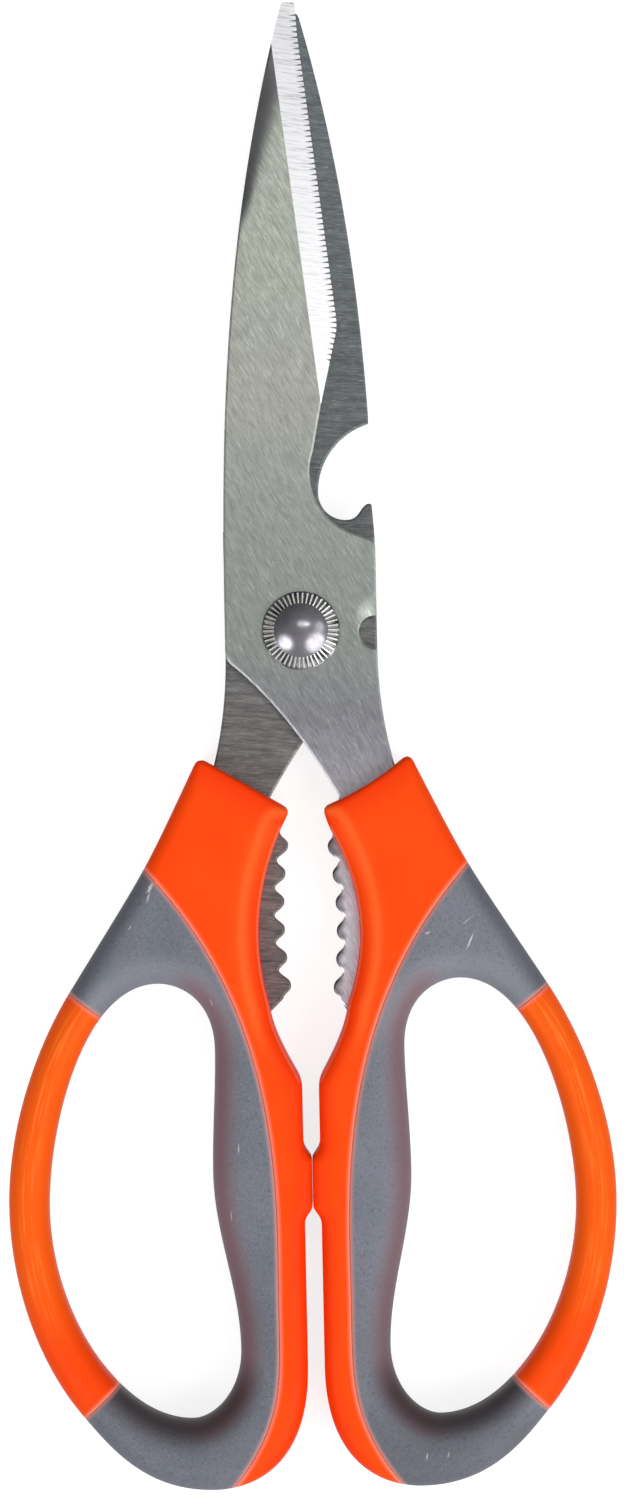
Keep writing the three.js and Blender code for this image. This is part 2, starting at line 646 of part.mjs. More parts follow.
// Assembly
const frame = handleFrame();
const grip = softGrip();

const frontHalf = new THREE.Group();
frontHalf.position.z = slidingPlane;
frontHalf.add(
  piece("front_blade", frontBlade(), STEEL_LIGHT),
  piece("right_handle_frame", frame, ORANGE),
  piece("right_soft_grip", grip, GREY),
);

const rearHalf = new THREE.Group();
rearHalf.position.z = slidingPlane;
rearHalf.rotation.y = Math.PI;
rearHalf.add(
  piece("rear_blade", rearBlade(), STEEL_DARK),
  piece("left_handle_frame", frame, ORANGE),
  piece("left_soft_grip", grip, GREY),
);

const pivot = new THREE.Group();
pivot.add(
  piece("pivot_post", pivotPost(), STEEL_BRIGHT),
  piece("tension_washer", tensionWasher(), STEEL_DARK),
  piece("fluted_washer", flutedWasher(), STEEL_BRIGHT),
  piece("pivot_screw", pivotScrew(), STEEL_BRIGHT),
);

const scissors = new THREE.Group();
scissors.add(frontHalf, rearHalf, pivot);

export default scissors;
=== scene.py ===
"""Looks of the kitchen scissors, in the part's own frame: +Z up, +Y towards the blade tips.

Shapes are worked out in millimetres and turned into metres when a mesh is made. Each half is drawn in a frame
of its own, as in the part: the handle on +X, the plane between the blades at z = 0, the half's own blade just
above it. The rear half is that frame turned over about Y.
"""

import math

import bpy
import numpy as np
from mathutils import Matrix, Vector
from mathutils.geometry import delaunay_2d_cdt


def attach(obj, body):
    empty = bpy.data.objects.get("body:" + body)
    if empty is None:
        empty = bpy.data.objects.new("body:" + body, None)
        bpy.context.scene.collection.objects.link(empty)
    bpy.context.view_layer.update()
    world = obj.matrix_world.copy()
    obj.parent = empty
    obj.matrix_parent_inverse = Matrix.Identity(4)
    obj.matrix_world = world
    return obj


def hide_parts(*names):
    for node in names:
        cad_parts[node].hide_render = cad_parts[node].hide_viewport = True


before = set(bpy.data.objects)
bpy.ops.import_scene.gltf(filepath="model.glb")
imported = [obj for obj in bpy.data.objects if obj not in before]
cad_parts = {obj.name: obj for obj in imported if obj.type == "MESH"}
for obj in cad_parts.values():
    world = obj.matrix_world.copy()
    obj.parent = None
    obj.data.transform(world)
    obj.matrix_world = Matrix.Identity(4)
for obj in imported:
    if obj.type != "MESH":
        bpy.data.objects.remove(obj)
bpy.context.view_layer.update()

MM = 0.001
SLIDING_PLANE = 4.15  # height of the plane between the blades over the origin
FLOOR_HEIGHT = -1.86  # just under the handles

# Blades
BLADE_LOW = 0.05
BLADE_THICKNESS = 2.0
BLADE_REACH = 94.3
SHOULDER = 11.4
SPINE_POWER = 2.55
SPINE_FOOT = (-SHOULDER, -4.2)
TIP_SPINE = 0.95
TIP_EDGE = 0.7
FRONT_TIP = (1.0, 94.3)
TIP_TURN = (1.12, 92.0)
EDGE_TURN = 89.5  # from here up the front blade's edge turns to its tip
EDGE_HEEL = (6.4, 45.5)
EDGE_LAND = 0.25
EDGE_FOOT_HEIGHT = 18.0
REAR_REACH = 93.3
REAR_HEEL = (SHOULDER, 15.0)
BEVEL_END = (3.7, 33.8)
BEVEL_WIDTH = 4.05
CHAMFER = 0.13
CHAMFER_WIDTH = 0.3
BACK_CHAMFER = 0.08
LEAST_TOP = 0.06
LEAST_WALL = 0.05
SWAGE_HEIGHTS = (56.0, 60.0, 66.0, 73.0, 78.0, 82.0, 88.0)
SWAGE_WIDTHS = (0.2, 0.9, 2.0, 3.4, 4.4, 6.0, 9.0)
SWAGE_DEPTH = 0.4
TANG_BEND = (-2.8, -10.9)
TANG_BULGE = np.array([(16.5, -46.0), (17.5, -33.0)])  # inside the handle
SHOULDER_BEND = (SHOULDER, -12.0)
SHOULDER_FOOT = (SHOULDER, -3.2)
TOOTH_TIPS = 3.1
JAW_TOP = 30.2
TOOTH_COUNT = 6
TOOTH_PITCH = 4.15
TOOTH_POWER = 1.4
TOE_SIDE = 2.9
TOE_DROP = 2.2
TOE_WIDTH = 2.8
# A row of teeth: where it starts below the pivot, its tips, the teeth's depth, the row's hollow and its lean
FRONT_JAW = (JAW_TOP + 0.35, 2.95, 1.15, 1.19, 0.54)
REAR_JAW = (JAW_TOP, 2.27, 1.5, 1.1, 0.0)
SERRATION_PITCH = 0.83
SERRATION_LENGTH = 1.15
SERRATION_HALF_WIDTH = 0.17
SERRATION_DEPTH = 0.3
SERRATION_END_HEIGHT = 40.0
SERRATION_TOP = 93.2
SERRATION_NICK = 0.09
NOTCH_RADIUS = 2.45
NOTCH_INSET = 0.27
NOTCH_HEIGHT = -0.36
NOTCH_FACET_WIDTH = 3.6
NOTCH_FACET_DEPTH = 0.75
NOTCH_FACET_POWER = 1.4
RELIEF_HEIGHT = 23.5
RELIEF_EXIT = 340.0
RELIEF = (9.65, 250.0, 160.0)  # an arc's radius, start and end
OPENER_DEPTH = 3.0
OPENER_HEIGHT = 20.6
OPENER_LIP = (10.7, 73.9, 0.0, 30)  # an arc's radius, start, end and steps
OPENER_THROAT = (4.1, 0.0, -100.0, 20)
OPENER_HOOK = ((2.98, 16.8), (2.42, 17.34), (1.78, 18.3), (1.12, 18.87), (0.4, 18.87))  # reach in, height
OPENER_FOOT_HEIGHT = 15.0

# Handle
NECK_ANGLE = 30.85
NECK_REACH = 24.1
NECK_SHIFT = -3.5
NECK_WIDTH = 15.0
NECK_WALL = 2.65
NECK_LIP = 0.35
NECK_TAPER = 8.0
NECK_DROP = 0.65
MOUTH_SAG = {"right": 0.7, "left": 0.0}
MOUTH_LIP = {"right": 0.0, "left": 0.5}
RECESS_REACH = {"right": 10.9, "left": 9.55}
BASE_SHADE = {"right": 0.3, "left": 0.12}
HALF_THICKNESS = 6.0
BOW_HALF_THICKNESS = 4.5
HANDLE_SIDE = 1.25
STOP_SIDE = 0.03
STRIP_FOOT_HEIGHT = -110.0
LOOP_CROWN_X = 22.6
LOOP_REACH = 39.5
BOW_WIDTH = 6.0
BOW_FOOT_WIDTH = 7.1
BOW_HEAD_AT = 0.7
BOW_FOOT_AT = 0.36
SEAM_HEAD_HEADING = -132.5
SEAM_FOOT_HEADING = -52.5
SEAM_OVERRUN = 6.0  # how far a seam's line runs out past the handle
LEAST_HALF = 0.4

# Meshes: their spacing, and the rows of points in from the handle's rim, its loop and its seams
TOOTH_STEPS = 14
BLADE_SPACING = 0.25
HANDLE_SPACING = 0.6
RIM_ROWS = (0.06, 0.22, 0.5, 0.9, 1.4, 2.0, 2.7, 3.5)
LOOP_ROWS = (0.1, 0.36, 0.8, 1.4, 2.1, 2.9, 3.8, 4.7, 5.6)
SEAM_ROWS = (0.08, 0.2, 0.4, 0.75)
BLOCK = 1500  # points measured at a time


# Plane curves, as arrays of points
def direction(degrees):
    angle = math.radians(degrees)
    return np.array([math.cos(angle), math.sin(angle)])


def bezier(a, b, c, d, steps):
    t = np.linspace(0.0, 1.0, steps + 1)[:, None]
    s = 1.0 - t
    return s**3 * a + 3 * t * s**2 * b + 3 * t**2 * s * c + t**3 * d


def bend(start, end, steps=40):
    """The smooth curve between two knots of (x, y, heading, reach before, reach after)."""
    a, d = np.array(start[:2], float), np.array(end[:2], float)
    return bezier(a, a + start[4] * direction(start[2]), d - end[3] * direction(end[2]), d, steps)


def quadratic(a, b, c, steps=24):
    a, b, c = (np.array(p, float) for p in (a, b, c))
    t = np.linspace(0.0, 1.0, steps + 1)[:, None]
    return (1 - t) ** 2 * a + 2 * t * (1 - t) * b + t**2 * c


def arc(centre, radius, start, end, steps=30):
    angles = np.radians(np.linspace(start, end, steps + 1))
    return np.array(centre, float) + radius * np.stack([np.cos(angles), np.sin(angles)], axis=1)


def join(*pieces):
    """One closed run of points without repeats."""
    points = np.vstack([np.atleast_2d(np.array(p, float)) for p in pieces])
    gaps = np.linalg.norm(points - np.roll(points, 1, axis=0), axis=1)
    return points[gaps > 1e-6]


def soften(points, corner, reach, steps=6):
    """Rounds a closed run of points at the corner nearest to the given place."""
    count = len(points)
    middle = int(np.argmin(np.linalg.norm(points - np.array(corner, float), axis=1)))

    def walk(step):
        left, i = reach, middle
        while True:
            here, there = points[i % count], points[(i + step) % count]
            length = np.linalg.norm(there - here)
            if length >= left:
                return here + (there - here) * left / length, i + step
            left -= length
            i += step

    before, first = walk(-1)
    after, last = walk(1)
    rounded = quadratic(before, points[middle], after, steps)
    kept = [points[i % count] for i in range(last, first + count + 1)]
    return join(rounded, kept)


def travelled(points):
    """How far along a run of points each of them is."""
    return np.concatenate([[0.0], np.cumsum(np.linalg.norm(np.diff(points, axis=0), axis=1))])


def resample(points, spacing, closed=True):
    ring = np.vstack([points, points[:1]]) if closed else points
    lengths = travelled(ring)
    count = max(3, round(lengths[-1] / spacing))
    places = np.linspace(0.0, lengths[-1], count + 1)
    if closed:
        places = places[:-1]
    return np.stack([np.interp(places, lengths, ring[:, k]) for k in (0, 1)], axis=1)


def nearest(points, line, closed=False):
    """How far each point is from a run of points joined by straight lines, and how far along it that is."""
    starts = line if closed else line[:-1]
    ends = np.roll(line, -1, axis=0) if closed else line[1:]
    along = ends - starts
    squared = np.maximum((along**2).sum(axis=1), 1e-12)
    lengths = np.sqrt(squared)
    before = np.cumsum(lengths) - lengths
    gaps, places = np.empty(len(points)), np.empty(len(points))
    for low in range(0, len(points), BLOCK):
        part = points[low:low + BLOCK]
        offset = part[:, None, :] - starts[None, :, :]
        share = np.clip((offset * along[None]).sum(axis=2) / squared[None], 0.0, 1.0)
        gap = ((offset - share[:, :, None] * along[None]) ** 2).sum(axis=2)
        best = gap.argmin(axis=1)
        rows = np.arange(len(part))
        gaps[low:low + BLOCK] = np.sqrt(gap[rows, best])
        places[low:low + BLOCK] = before[best] + share[rows, best] * lengths[best]
    return gaps, places


def distance(points, line, closed=False):
    return nearest(points, line, closed)[0]


def inside(points, ring):
    x, y = points[:, :1], points[:, 1:]
    a, b = ring, np.roll(ring, -1, axis=0)
    crosses = (a[None, :, 1] > y) != (b[None, :, 1] > y)
    rise = np.where(b[:, 1] == a[:, 1], 1e-12, b[:, 1] - a[:, 1])
    at = a[None, :, 0] + (y - a[None, :, 1]) * ((b[:, 0] - a[:, 0]) / rise)[None, :]
    return (crosses & (x < at)).sum(axis=1) % 2 == 1


def within(points, rings):
    """Which points lie inside the first ring and outside the others."""
    return inside(points, rings[0]) & ~np.any([inside(points, ring) for ring in rings[1:]], axis=0)


def offset_points(line, gap, closed=True):
    """The points of a line moved to its left by the gap."""
    if closed:
        along = np.roll(line, -1, axis=0) - np.roll(line, 1, axis=0)
    else:
        along = np.gradient(line, axis=0)
    along /= np.maximum(np.linalg.norm(along, axis=1), 1e-9)[:, None]
    return line + gap * np.stack([-along[:, 1], along[:, 0]], axis=1)


def smooth(value, start, full):
    """0 at the start, 1 at the full value, which may be the smaller of the two."""
    t = np.clip((value - start) / (full - start), 0.0, 1.0)
    return t * t * (3 - 2 * t)


def fading(gap, reach):
    return np.clip(1.0 - gap / reach, 0.0, 1.0)


def rounding_drop(gap, reach, depth):
    """How far a surface has fallen at a gap from an edge that is rounded over."""
    return depth * (1.0 - np.sqrt(1.0 - fading(gap, reach) ** 2))


def grid(low, high, spacing):
    """Points in staggered rows."""
    xs = np.arange(low[0], high[0], spacing)
    ys = np.arange(low[1], high[1], spacing * 0.87)
    points = [(x + (spacing / 2 if row % 2 else 0.0), y) for row, y in enumerate(ys) for x in xs]
    return np.array(points)


def thinned(groups):
    """Points of several groups, leaving out those too near to one that is already there.

    Each group is (points, least gap).
    """
    cell = 0.5
    table = {}
    kept = []
    for points, gap in groups:
        reach = int(math.ceil(gap / cell))
        for x, y in points:
            i, j = int(math.floor(x / cell)), int(math.floor(y / cell))
            near = (
                other
                for di in range(-reach, reach + 1)
                for dj in range(-reach, reach + 1)
                for other in table.get((i + di, j + dj), ())
            )
            if any((x - a) ** 2 + (y - b) ** 2 < gap * gap for a, b in near):
                continue
            table.setdefault((i, j), []).append((x, y))
            kept.append((x, y))
    return np.array(kept)


def triangulated(points, rings, creases):
    """Triangles over the points, inside the first ring and outside the others, that keep all those lines."""
    corners = [tuple(p) for p in points]
    edges = []
    for line, closed in [(ring, True) for ring in rings] + [(crease, False) for crease in creases]:
        first = len(corners)
        corners += [tuple(p) for p in line]
        count = len(line)
        edges += [(first + i, first + i + 1) for i in range(count - 1)]
        if closed:
            edges.append((first + count - 1, first))
    found = delaunay_2d_cdt([Vector(c) for c in corners], edges, [], 0, 1e-4)
    places = np.array([(v.x, v.y) for v in found[0]])
    faces = np.array([f for f in found[2] if len(f) == 3])
    a, b, c = (places[faces[:, k]] for k in range(3))
    area = (b[:, 0] - a[:, 0]) * (c[:, 1] - a[:, 1]) - (b[:, 1] - a[:, 1]) * (c[:, 0] - a[:, 0])
    faces[area < 0] = faces[area < 0][:, ::-1]
    faces = faces[np.abs(area) > 1e-9]
    return places, faces[within(places[faces].mean(axis=1), rings)]


# Meshes
def placed(name, data):
    obj = bpy.data.objects.new(name, data)
    bpy.context.scene.collection.objects.link(obj)
    return obj


def add_object(name, points, faces, materials, slots=None):
    mesh = bpy.data.meshes.new(name)
    corners = [tuple(p) for p in np.asarray(points) * MM]
    mesh.from_pydata(corners, [], [tuple(int(i) for i in f) for f in faces])
    for material in materials:
        mesh.materials.append(material)
    mesh.polygons.foreach_set("use_smooth", [True] * len(mesh.polygons))
    if slots is not None:
        mesh.polygons.foreach_set("material_index", [int(s) for s in slots])
    mesh.update()
    return placed(name, mesh)


def plate(places, faces, top, bottom):
    """A closed plate over some triangles, from each place's height above and below, and the places it uses."""
    used = np.unique(faces)
    number = np.full(len(places), -1)
    number[used] = np.arange(len(used))
    upper = number[faces]
    lower = upper[:, ::-1] + len(used)
    directed = np.vstack([upper[:, [0, 1]], upper[:, [1, 2]], upper[:, [2, 0]]])
    seen = {(int(a), int(b)) for a, b in directed}
    rim = [(a, b) for a, b in seen if (b, a) not in seen]
    rim.sort()
    walls = [(b, a, a + len(used), b + len(used)) for a, b in rim]
    points = np.vstack([
        np.column_stack([places[used], top[used]]),
        np.column_stack([places[used], bottom[used]]),
    ])
    return points, [*upper.tolist(), *lower.tolist(), *walls], used


def turned(rows, closed=False):
    """A body about Z, from rows of (radius, height), one for each step. A row on the axis is one corner."""
    steps = len(rows[0])
    points, faces, numbers = [], [], []
    for row in rows:
        if row[0][0] < 1e-6:
            numbers.append([len(points)] * steps)
            points.append((0.0, 0.0, row[0][1]))
            continue
        numbers.append(list(range(len(points), len(points) + steps)))
        for k, (radius, height) in enumerate(row):
            angle = 2 * math.pi * k / steps
            points.append((radius * math.cos(angle), radius * math.sin(angle), height))
    if closed:
        numbers.append(numbers[0])
    for low, high in zip(numbers, numbers[1:]):
        for k in range(steps):
            m = (k + 1) % steps
            face = [low[k], low[m], high[m], high[k]]
            face = [v for i, v in enumerate(face) if v not in face[:i]]
            if len(face) > 2:
                faces.append(face)
    return np.array(points), faces


def lathe(profile, steps):
    return turned([[point] * steps for point in profile])


def turned_over(points):
    """From the half's own frame into the part's frame, for the rear half."""
    return points * np.array([-1.0, 1.0, -1.0]) + np.array([0.0, 0.0, SLIDING_PLANE])


def set_upright(points):
    return points + np.array([0.0, 0.0, SLIDING_PLANE])


def give(obj, name, values):
    """Keeps a value for each corner of a mesh, for its material to read."""
    attribute = obj.data.attributes.new(name, "FLOAT", "POINT")
    attribute.data.foreach_set("value", np.asarray(values, np.float32))


def dress(obj, node, body):
    """Puts a piece in the place of a CAD node."""
    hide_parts(node)
    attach(obj, body)


# Materials. A tint is mixed in where the mesh keeps a value of its name. The bow's tint is its own colour; the
# other tints are painted shade and painted highlights.
STEEL_MARK = (0.05, 0.05, 0.055)
# Painted shade: the swage's hollow and the edges of the teeth are made darker
STEEL_PAINTED_SHADE = {"swage": (0.13, 0.13, 0.14), "tooth_edge_shade": (0.03, 0.028, 0.03)}
BEVEL_BRIGHT = (0.97, 0.97, 0.98)
BEVEL_GREY = (0.78, 0.78, 0.81)
BEVEL_LINE = (0.42, 0.42, 0.46)
# Painted shade in the serration grooves
BEVEL_PAINTED_SHADE = {"groove": (0.12, 0.12, 0.13)}
FLUTE_SHADE = (0.02, 0.02, 0.022)
ORANGE_LOW = (1.0, 0.062, 0.002)
ORANGE_HIGH = (1.0, 0.078, 0.004)
ORANGE_FLOW_AND_HIGHLIGHT = (1.0, 0.27, 0.04)
BOW_TINTS = {"bow": (1.0, 0.112, 0.005)}
# Painted light on the orange plastic: shade at the neck's mouth and the strip, highlights along the recess's
# crest and the seams
ORANGE_PAINTED_LIGHT = {"deep": (0.95, 0.03, 0.001), "crest": (1.0, 0.17, 0.03), "seam": (1.0, 0.27, 0.18)}
GREY_SPECK = (0.27, 0.28, 0.31)
GREY_PIT = (0.07, 0.075, 0.09)
GREY_SCUFF = (0.62, 0.62, 0.64)
# Painted light on the grey plastic: a highlight on the crown, shade on the wall, the foot and the outer edge,
# a red reflection on the wall, a pale line at the seams
GREY_PAINTED_LIGHT = {
    "crown": (0.26, 0.27, 0.31), "wall": (0.22, 0.115, 0.135), "foot": (0.03, 0.018, 0.02),
    "outer": (0.05, 0.055, 0.065), "seam": (0.62, 0.27, 0.24),
}


def new_material(name):
    material = bpy.data.materials.new(name)
    material.use_nodes = True
    tree = material.node_tree
    return material, tree, tree.nodes["Principled BSDF"]


def add_node(tree, kind):
    return tree.nodes.new(f"ShaderNode{kind}")


def link(tree, source, target):
    tree.links.new(source, target)


def coordinates(tree, turn=0.0, scale=(1.0, 1.0, 1.0), place=(0.0, 0.0, 0.0)):
    """The piece's own millimetres, moved so that a place is at the origin, turned about Z, then scaled."""
    source = add_node(tree, "TexCoord")
    shift = add_node(tree, "Mapping")
    shift.vector_type = "TEXTURE"
    shift.inputs["Location"].default_value = tuple(c * MM for c in place)
    shift.inputs["Rotation"].default_value = (0.0, 0.0, math.radians(turn))
    shift.inputs["Scale"].default_value = tuple(c * MM for c in scale)
    link(tree, source.outputs["Object"], shift.inputs["Vector"])
    return shift.outputs["Vector"]


def noise(tree, vector, detail, roughness=0.5, scale=1.0):
    node = add_node(tree, "TexNoise")
    node.inputs["Scale"].default_value = scale
    node.inputs["Detail"].default_value = detail
    node.inputs["Roughness"].default_value = roughness
    link(tree, vector, node.inputs["Vector"])
    return node.outputs["Fac"]


def texture(tree, turn, size, detail, roughness=0.5, place=(0.0, 0.0, 0.0)):
    """Noise whose spots have about that size in millimetres, turned about Z."""
    return noise(tree, coordinates(tree, turn, size, place), detail, roughness)


def remap(tree, value, low, high, to_low, to_high):
    node = add_node(tree, "MapRange")
    for socket, number in zip(("From Min", "From Max", "To Min", "To Max"), (low, high, to_low, to_high)):
        node.inputs[socket].default_value = number
    link(tree, value, node.inputs["Value"])
    return node.outputs["Result"]


def spread(tree, value, to_low, to_high):
    """A noise's middle values, where nearly all of it lies, brought to another range."""
    return remap(tree, value, 0.3, 0.7, to_low, to_high)


def ramp(tree, value, stops):
    """A colour that changes along a value in millimetres, by stops of (value, colour)."""
    low, high = stops[0][0], stops[-1][0]
    node = add_node(tree, "ValToRGB")
    elements = node.color_ramp.elements
    while len(elements) < len(stops):
        elements.new(0.5)
    for element, (at, colour) in zip(elements, stops):
        element.position = (at - low) / (high - low)
        element.color = (*colour, 1.0)
    link(tree, remap(tree, value, low, high, 0.0, 1.0), node.inputs["Fac"])
    return node.outputs["Color"]


def math_node(tree, operation, *values):
    node = add_node(tree, "Math")
    node.operation = operation
    for socket, value in zip(node.inputs, values):
        if isinstance(value, (int, float)):
            socket.default_value = value
        else:
            link(tree, value, socket)
    return node.outputs["Value"]


def times(tree, first, second):
    return math_node(tree, "MULTIPLY", first, second)


def mixed(tree, share, first, second):
    """A colour between two, each a triple or another colour's socket."""
    node = add_node(tree, "Mix")
    node.data_type = "RGBA"
    link(tree, share, node.inputs["Factor"])
    for socket, colour in ((node.inputs[6], first), (node.inputs[7], second)):
        if isinstance(colour, tuple):
            socket.default_value = (*colour, 1.0)
        else:
            link(tree, colour, socket)
    return node.outputs[2]


def bump(tree, shader, height, strength, depth):
    node = add_node(tree, "Bump")
    node.inputs["Strength"].default_value = strength
    node.inputs["Distance"].default_value = depth * MM
    link(tree, height, node.inputs["Height"])
    link(tree, node.outputs["Normal"], shader.inputs["Normal"])


def height_along(tree, axis):
    """The piece's own X, Y or Z in millimetres."""
    node = add_node(tree, "SeparateXYZ")
    link(tree, coordinates(tree), node.inputs["Vector"])
    return node.outputs[axis]


def kept_value(tree, name):
    node = add_node(tree, "Attribute")
    node.attribute_name = name
    return node.outputs["Fac"]


def tinted(tree, tone, tints):
    for name, colour in tints.items():
        tone = mixed(tree, kept_value(tree, name), tone, colour)
    return tone


def set_shader(tree, shader, tone, roughness, socket, value):
    link(tree, tone, shader.inputs["Base Color"])
    link(tree, roughness, shader.inputs["Roughness"])
    shader.inputs[socket].default_value = value


def spot(tree, place, turn, half_length, half_width):
    """A ragged mark of that size on the surface: 1 in it, 0 outside it."""
    local = coordinates(tree, turn, (half_length, half_width, 4.0), (*place, 0.0))
    flat = add_node(tree, "VectorMath")
    flat.operation = "MULTIPLY"
    flat.inputs[1].default_value = (1.0, 1.0, 0.0)
    link(tree, local, flat.inputs[0])
    length = add_node(tree, "VectorMath")
    length.operation = "LENGTH"
    link(tree, flat.outputs["Vector"], length.inputs[0])
    ragged = spread(tree, noise(tree, local, 3.0, scale=1.6), -0.5, 0.5)
    return remap(tree, math_node(tree, "ADD", length.outputs["Value"], ragged), 0.55, 1.05, 1.0, 0.0)


def brushed_steel(name, tones, grain, streak, contrast, calm, scratch, roughness):
    """Satin steel whose tone changes along the blade, with fine marks in the grain's direction.

    The broad streaks and the pale scratches fade to the calm share towards the pivot.
    """
    material, tree, shader = new_material(name)
    fine = texture(tree, grain, (1.5, 0.13, 2.6), 2.0, 0.6)
    broad = texture(tree, grain, (*streak, 7.0), 3.0, 0.6)
    cloud = texture(tree, grain, (2.8, 1.8, 6.0), 4.0, 0.6)
    sparse = texture(tree, grain + 5.0, (1.4, 0.14, 4.0), 1.0, place=(3.0, 1.0, 0.0))
    height = height_along(tree, "Y")
    fade = remap(tree, height, 15.0, 60.0, calm, 1.0)
    streaks = times(tree, remap(tree, broad, 0.35, 0.65, contrast, 0.0), fade)
    tone = ramp(tree, height, tones)
    for share in (spread(tree, fine, contrast, 0.0), streaks, spread(tree, cloud, 0.5 * contrast, 0.0)):
        tone = mixed(tree, share, tone, STEEL_MARK)
    strokes = times(tree, remap(tree, sparse, 0.62, 0.78, 0.0, 0.55), fade)
    # Mixes in the painted shade of the swage and the teeth
    tone = tinted(tree, mixed(tree, strokes, tone, scratch), STEEL_PAINTED_SHADE)
    rough = spread(tree, broad, roughness - 0.06, roughness + 0.08)
    set_shader(tree, shader, tone, rough, "Metallic", 1.0)
    bump(tree, shader, fine, 0.25, 0.03)
    return material


def ground_steel():
    """The bright bevel, ground across the edge, greyer and with stronger lines towards the tip."""
    material, tree, shader = new_material("ground_edge")
    across = texture(tree, -6.7, (4.5, 0.2, 4.0), 3.0, 0.6)
    cloud = texture(tree, 0.0, (6.0, 9.0, 6.0), 2.0)
    height = height_along(tree, "Y")
    grey = times(tree, remap(tree, height, 50.0, 90.0, 0.0, 0.8), remap(tree, cloud, 0.25, 0.75, 0.5, 1.0))
    lines = times(tree, remap(tree, height, 45.0, 80.0, 0.4, 0.9), remap(tree, across, 0.3, 0.52, 1.0, 0.0))
    tone = mixed(tree, lines, mixed(tree, grey, BEVEL_BRIGHT, BEVEL_GREY), BEVEL_LINE)
    tone = tinted(tree, tone, BEVEL_PAINTED_SHADE)
    set_shader(tree, shader, tone, spread(tree, across, 0.34, 0.5), "Metallic", 1.0)
    bump(tree, shader, across, 0.3, 0.03)
    return material


def polished_steel(name, clean, smudged, roughness, fluted=False):
    material, tree, shader = new_material(name)
    smudge = texture(tree, 0.0, (1.6, 1.6, 1.6), 4.0, 0.6)
    tone = mixed(tree, remap(tree, smudge, 0.35, 0.7, 0.0, 1.0), clean, smudged)
    if fluted:
        # Painted shade between the washer's ridges, at its rim and next to the dome, uneven in strength
        uneven_shade = texture(tree, 0.0, (2.2, 2.2, 2.2), 1.0, place=(1.0, 4.0, 0.0))
        uneven_shade = remap(tree, uneven_shade, 0.35, 0.65, 0.7, 1.0)
        tone = mixed(tree, times(tree, kept_value(tree, "valley"), uneven_shade), tone, FLUTE_SHADE)
    set_shader(tree, shader, tone, spread(tree, smudge, *roughness), "Metallic", 1.0)
    return material


def flow_lines_and_crest_highlight(tree):
    """Faint pale lines that run round the bow, strongest along its crest: flow lines of the moulding, and a
    painted highlight along the crest.
    """
    gap, height = kept_value(tree, "from_loop"), height_along(tree, "Y")
    place = add_node(tree, "CombineXYZ")
    link(tree, times(tree, gap, 2.2), place.inputs["X"])
    link(tree, times(tree, height, 0.11), place.inputs["Y"])
    lines = remap(tree, noise(tree, place.outputs["Vector"], 3.0, 0.6), 0.48, 0.72, 0.0, 0.75)
    from_crest = math_node(tree, "ABSOLUTE", math_node(tree, "SUBTRACT", gap, 3.2))
    crest = remap(tree, from_crest, 0.4, 2.0, 1.0, 0.0)
    on_bow = times(tree, crest, kept_value(tree, "bow"))
    return times(tree, lines, on_bow)


def orange_plastic():
    material, tree, shader = new_material("orange_plastic")
    grain = texture(tree, 0.0, (0.35, 0.35, 0.35), 3.0, 0.6)
    cloud = texture(tree, 20.0, (9.0, 14.0, 9.0), 2.0)
    tone = mixed(tree, spread(tree, cloud, 0.0, 1.0), ORANGE_LOW, ORANGE_HIGH)
    tone = tinted(tree, tone, BOW_TINTS)
    tone = mixed(tree, flow_lines_and_crest_highlight(tree), tone, ORANGE_FLOW_AND_HIGHLIGHT)
    tone = tinted(tree, tone, ORANGE_PAINTED_LIGHT)
    set_shader(tree, shader, tone, spread(tree, grain, 0.4, 0.52), "Specular IOR Level", 0.07)
    bump(tree, shader, grain, 0.12, 0.03)
    return material


def grey_rubber(name, low, high, scuffs):
    """Soft grey plastic with specks, pits and scuffs, each (place, turn, half length, half width, share)."""
    material, tree, shader = new_material(name)
    speck = texture(tree, 0.0, (0.3, 0.3, 0.3), 2.0, 0.7)
    pits = texture(tree, 35.0, (0.5, 0.5, 0.5), 2.0, 0.7, (2.0, 1.0, 0.0))
    cloud = texture(tree, 0.0, (7.0, 10.0, 8.0), 3.0)
    tone = mixed(tree, spread(tree, cloud, 0.0, 1.0), low, high)
    tone = mixed(tree, remap(tree, speck, 0.5, 0.72, 0.0, 0.55), tone, GREY_SPECK)
    tone = mixed(tree, remap(tree, pits, 0.52, 0.72, 0.0, 0.5), tone, GREY_PIT)
    tone = tinted(tree, tone, GREY_PAINTED_LIGHT)
    for *scuff, share in scuffs:
        tone = mixed(tree, times(tree, spot(tree, *scuff), share), tone, GREY_SCUFF)
    set_shader(tree, shader, tone, spread(tree, speck, 0.52, 0.66), "Specular IOR Level", 0.4)
    bump(tree, shader, speck, 0.22, 0.05)
    return material


# Blades, in a half's own frame
NECK_ALONG = np.array([math.sin(math.radians(NECK_ANGLE)), -math.cos(math.radians(NECK_ANGLE))])
NECK_ACROSS = np.array([math.cos(math.radians(NECK_ANGLE)), math.sin(math.radians(NECK_ANGLE))])


def neck_point(along, across):
    return along * NECK_ALONG + across * NECK_ACROSS


neck_outer = neck_point(NECK_REACH, NECK_SHIFT + NECK_WIDTH / 2)
neck_inner = neck_point(NECK_REACH, NECK_SHIFT - NECK_WIDTH / 2 - NECK_LIP)
tang_outer = neck_point(NECK_REACH, NECK_SHIFT + NECK_WIDTH / 2 - NECK_WALL)
tang_inner = neck_point(NECK_REACH, NECK_SHIFT - NECK_WIDTH / 2 + NECK_WALL)
jaw_length = TOOTH_COUNT * TOOTH_PITCH
jaw_toe = np.array([TOOTH_TIPS + TOE_SIDE, -JAW_TOP - jaw_length - TOE_DROP])
edge_slope = (EDGE_HEEL[0] - TIP_EDGE) / (BLADE_REACH - EDGE_HEEL[1])


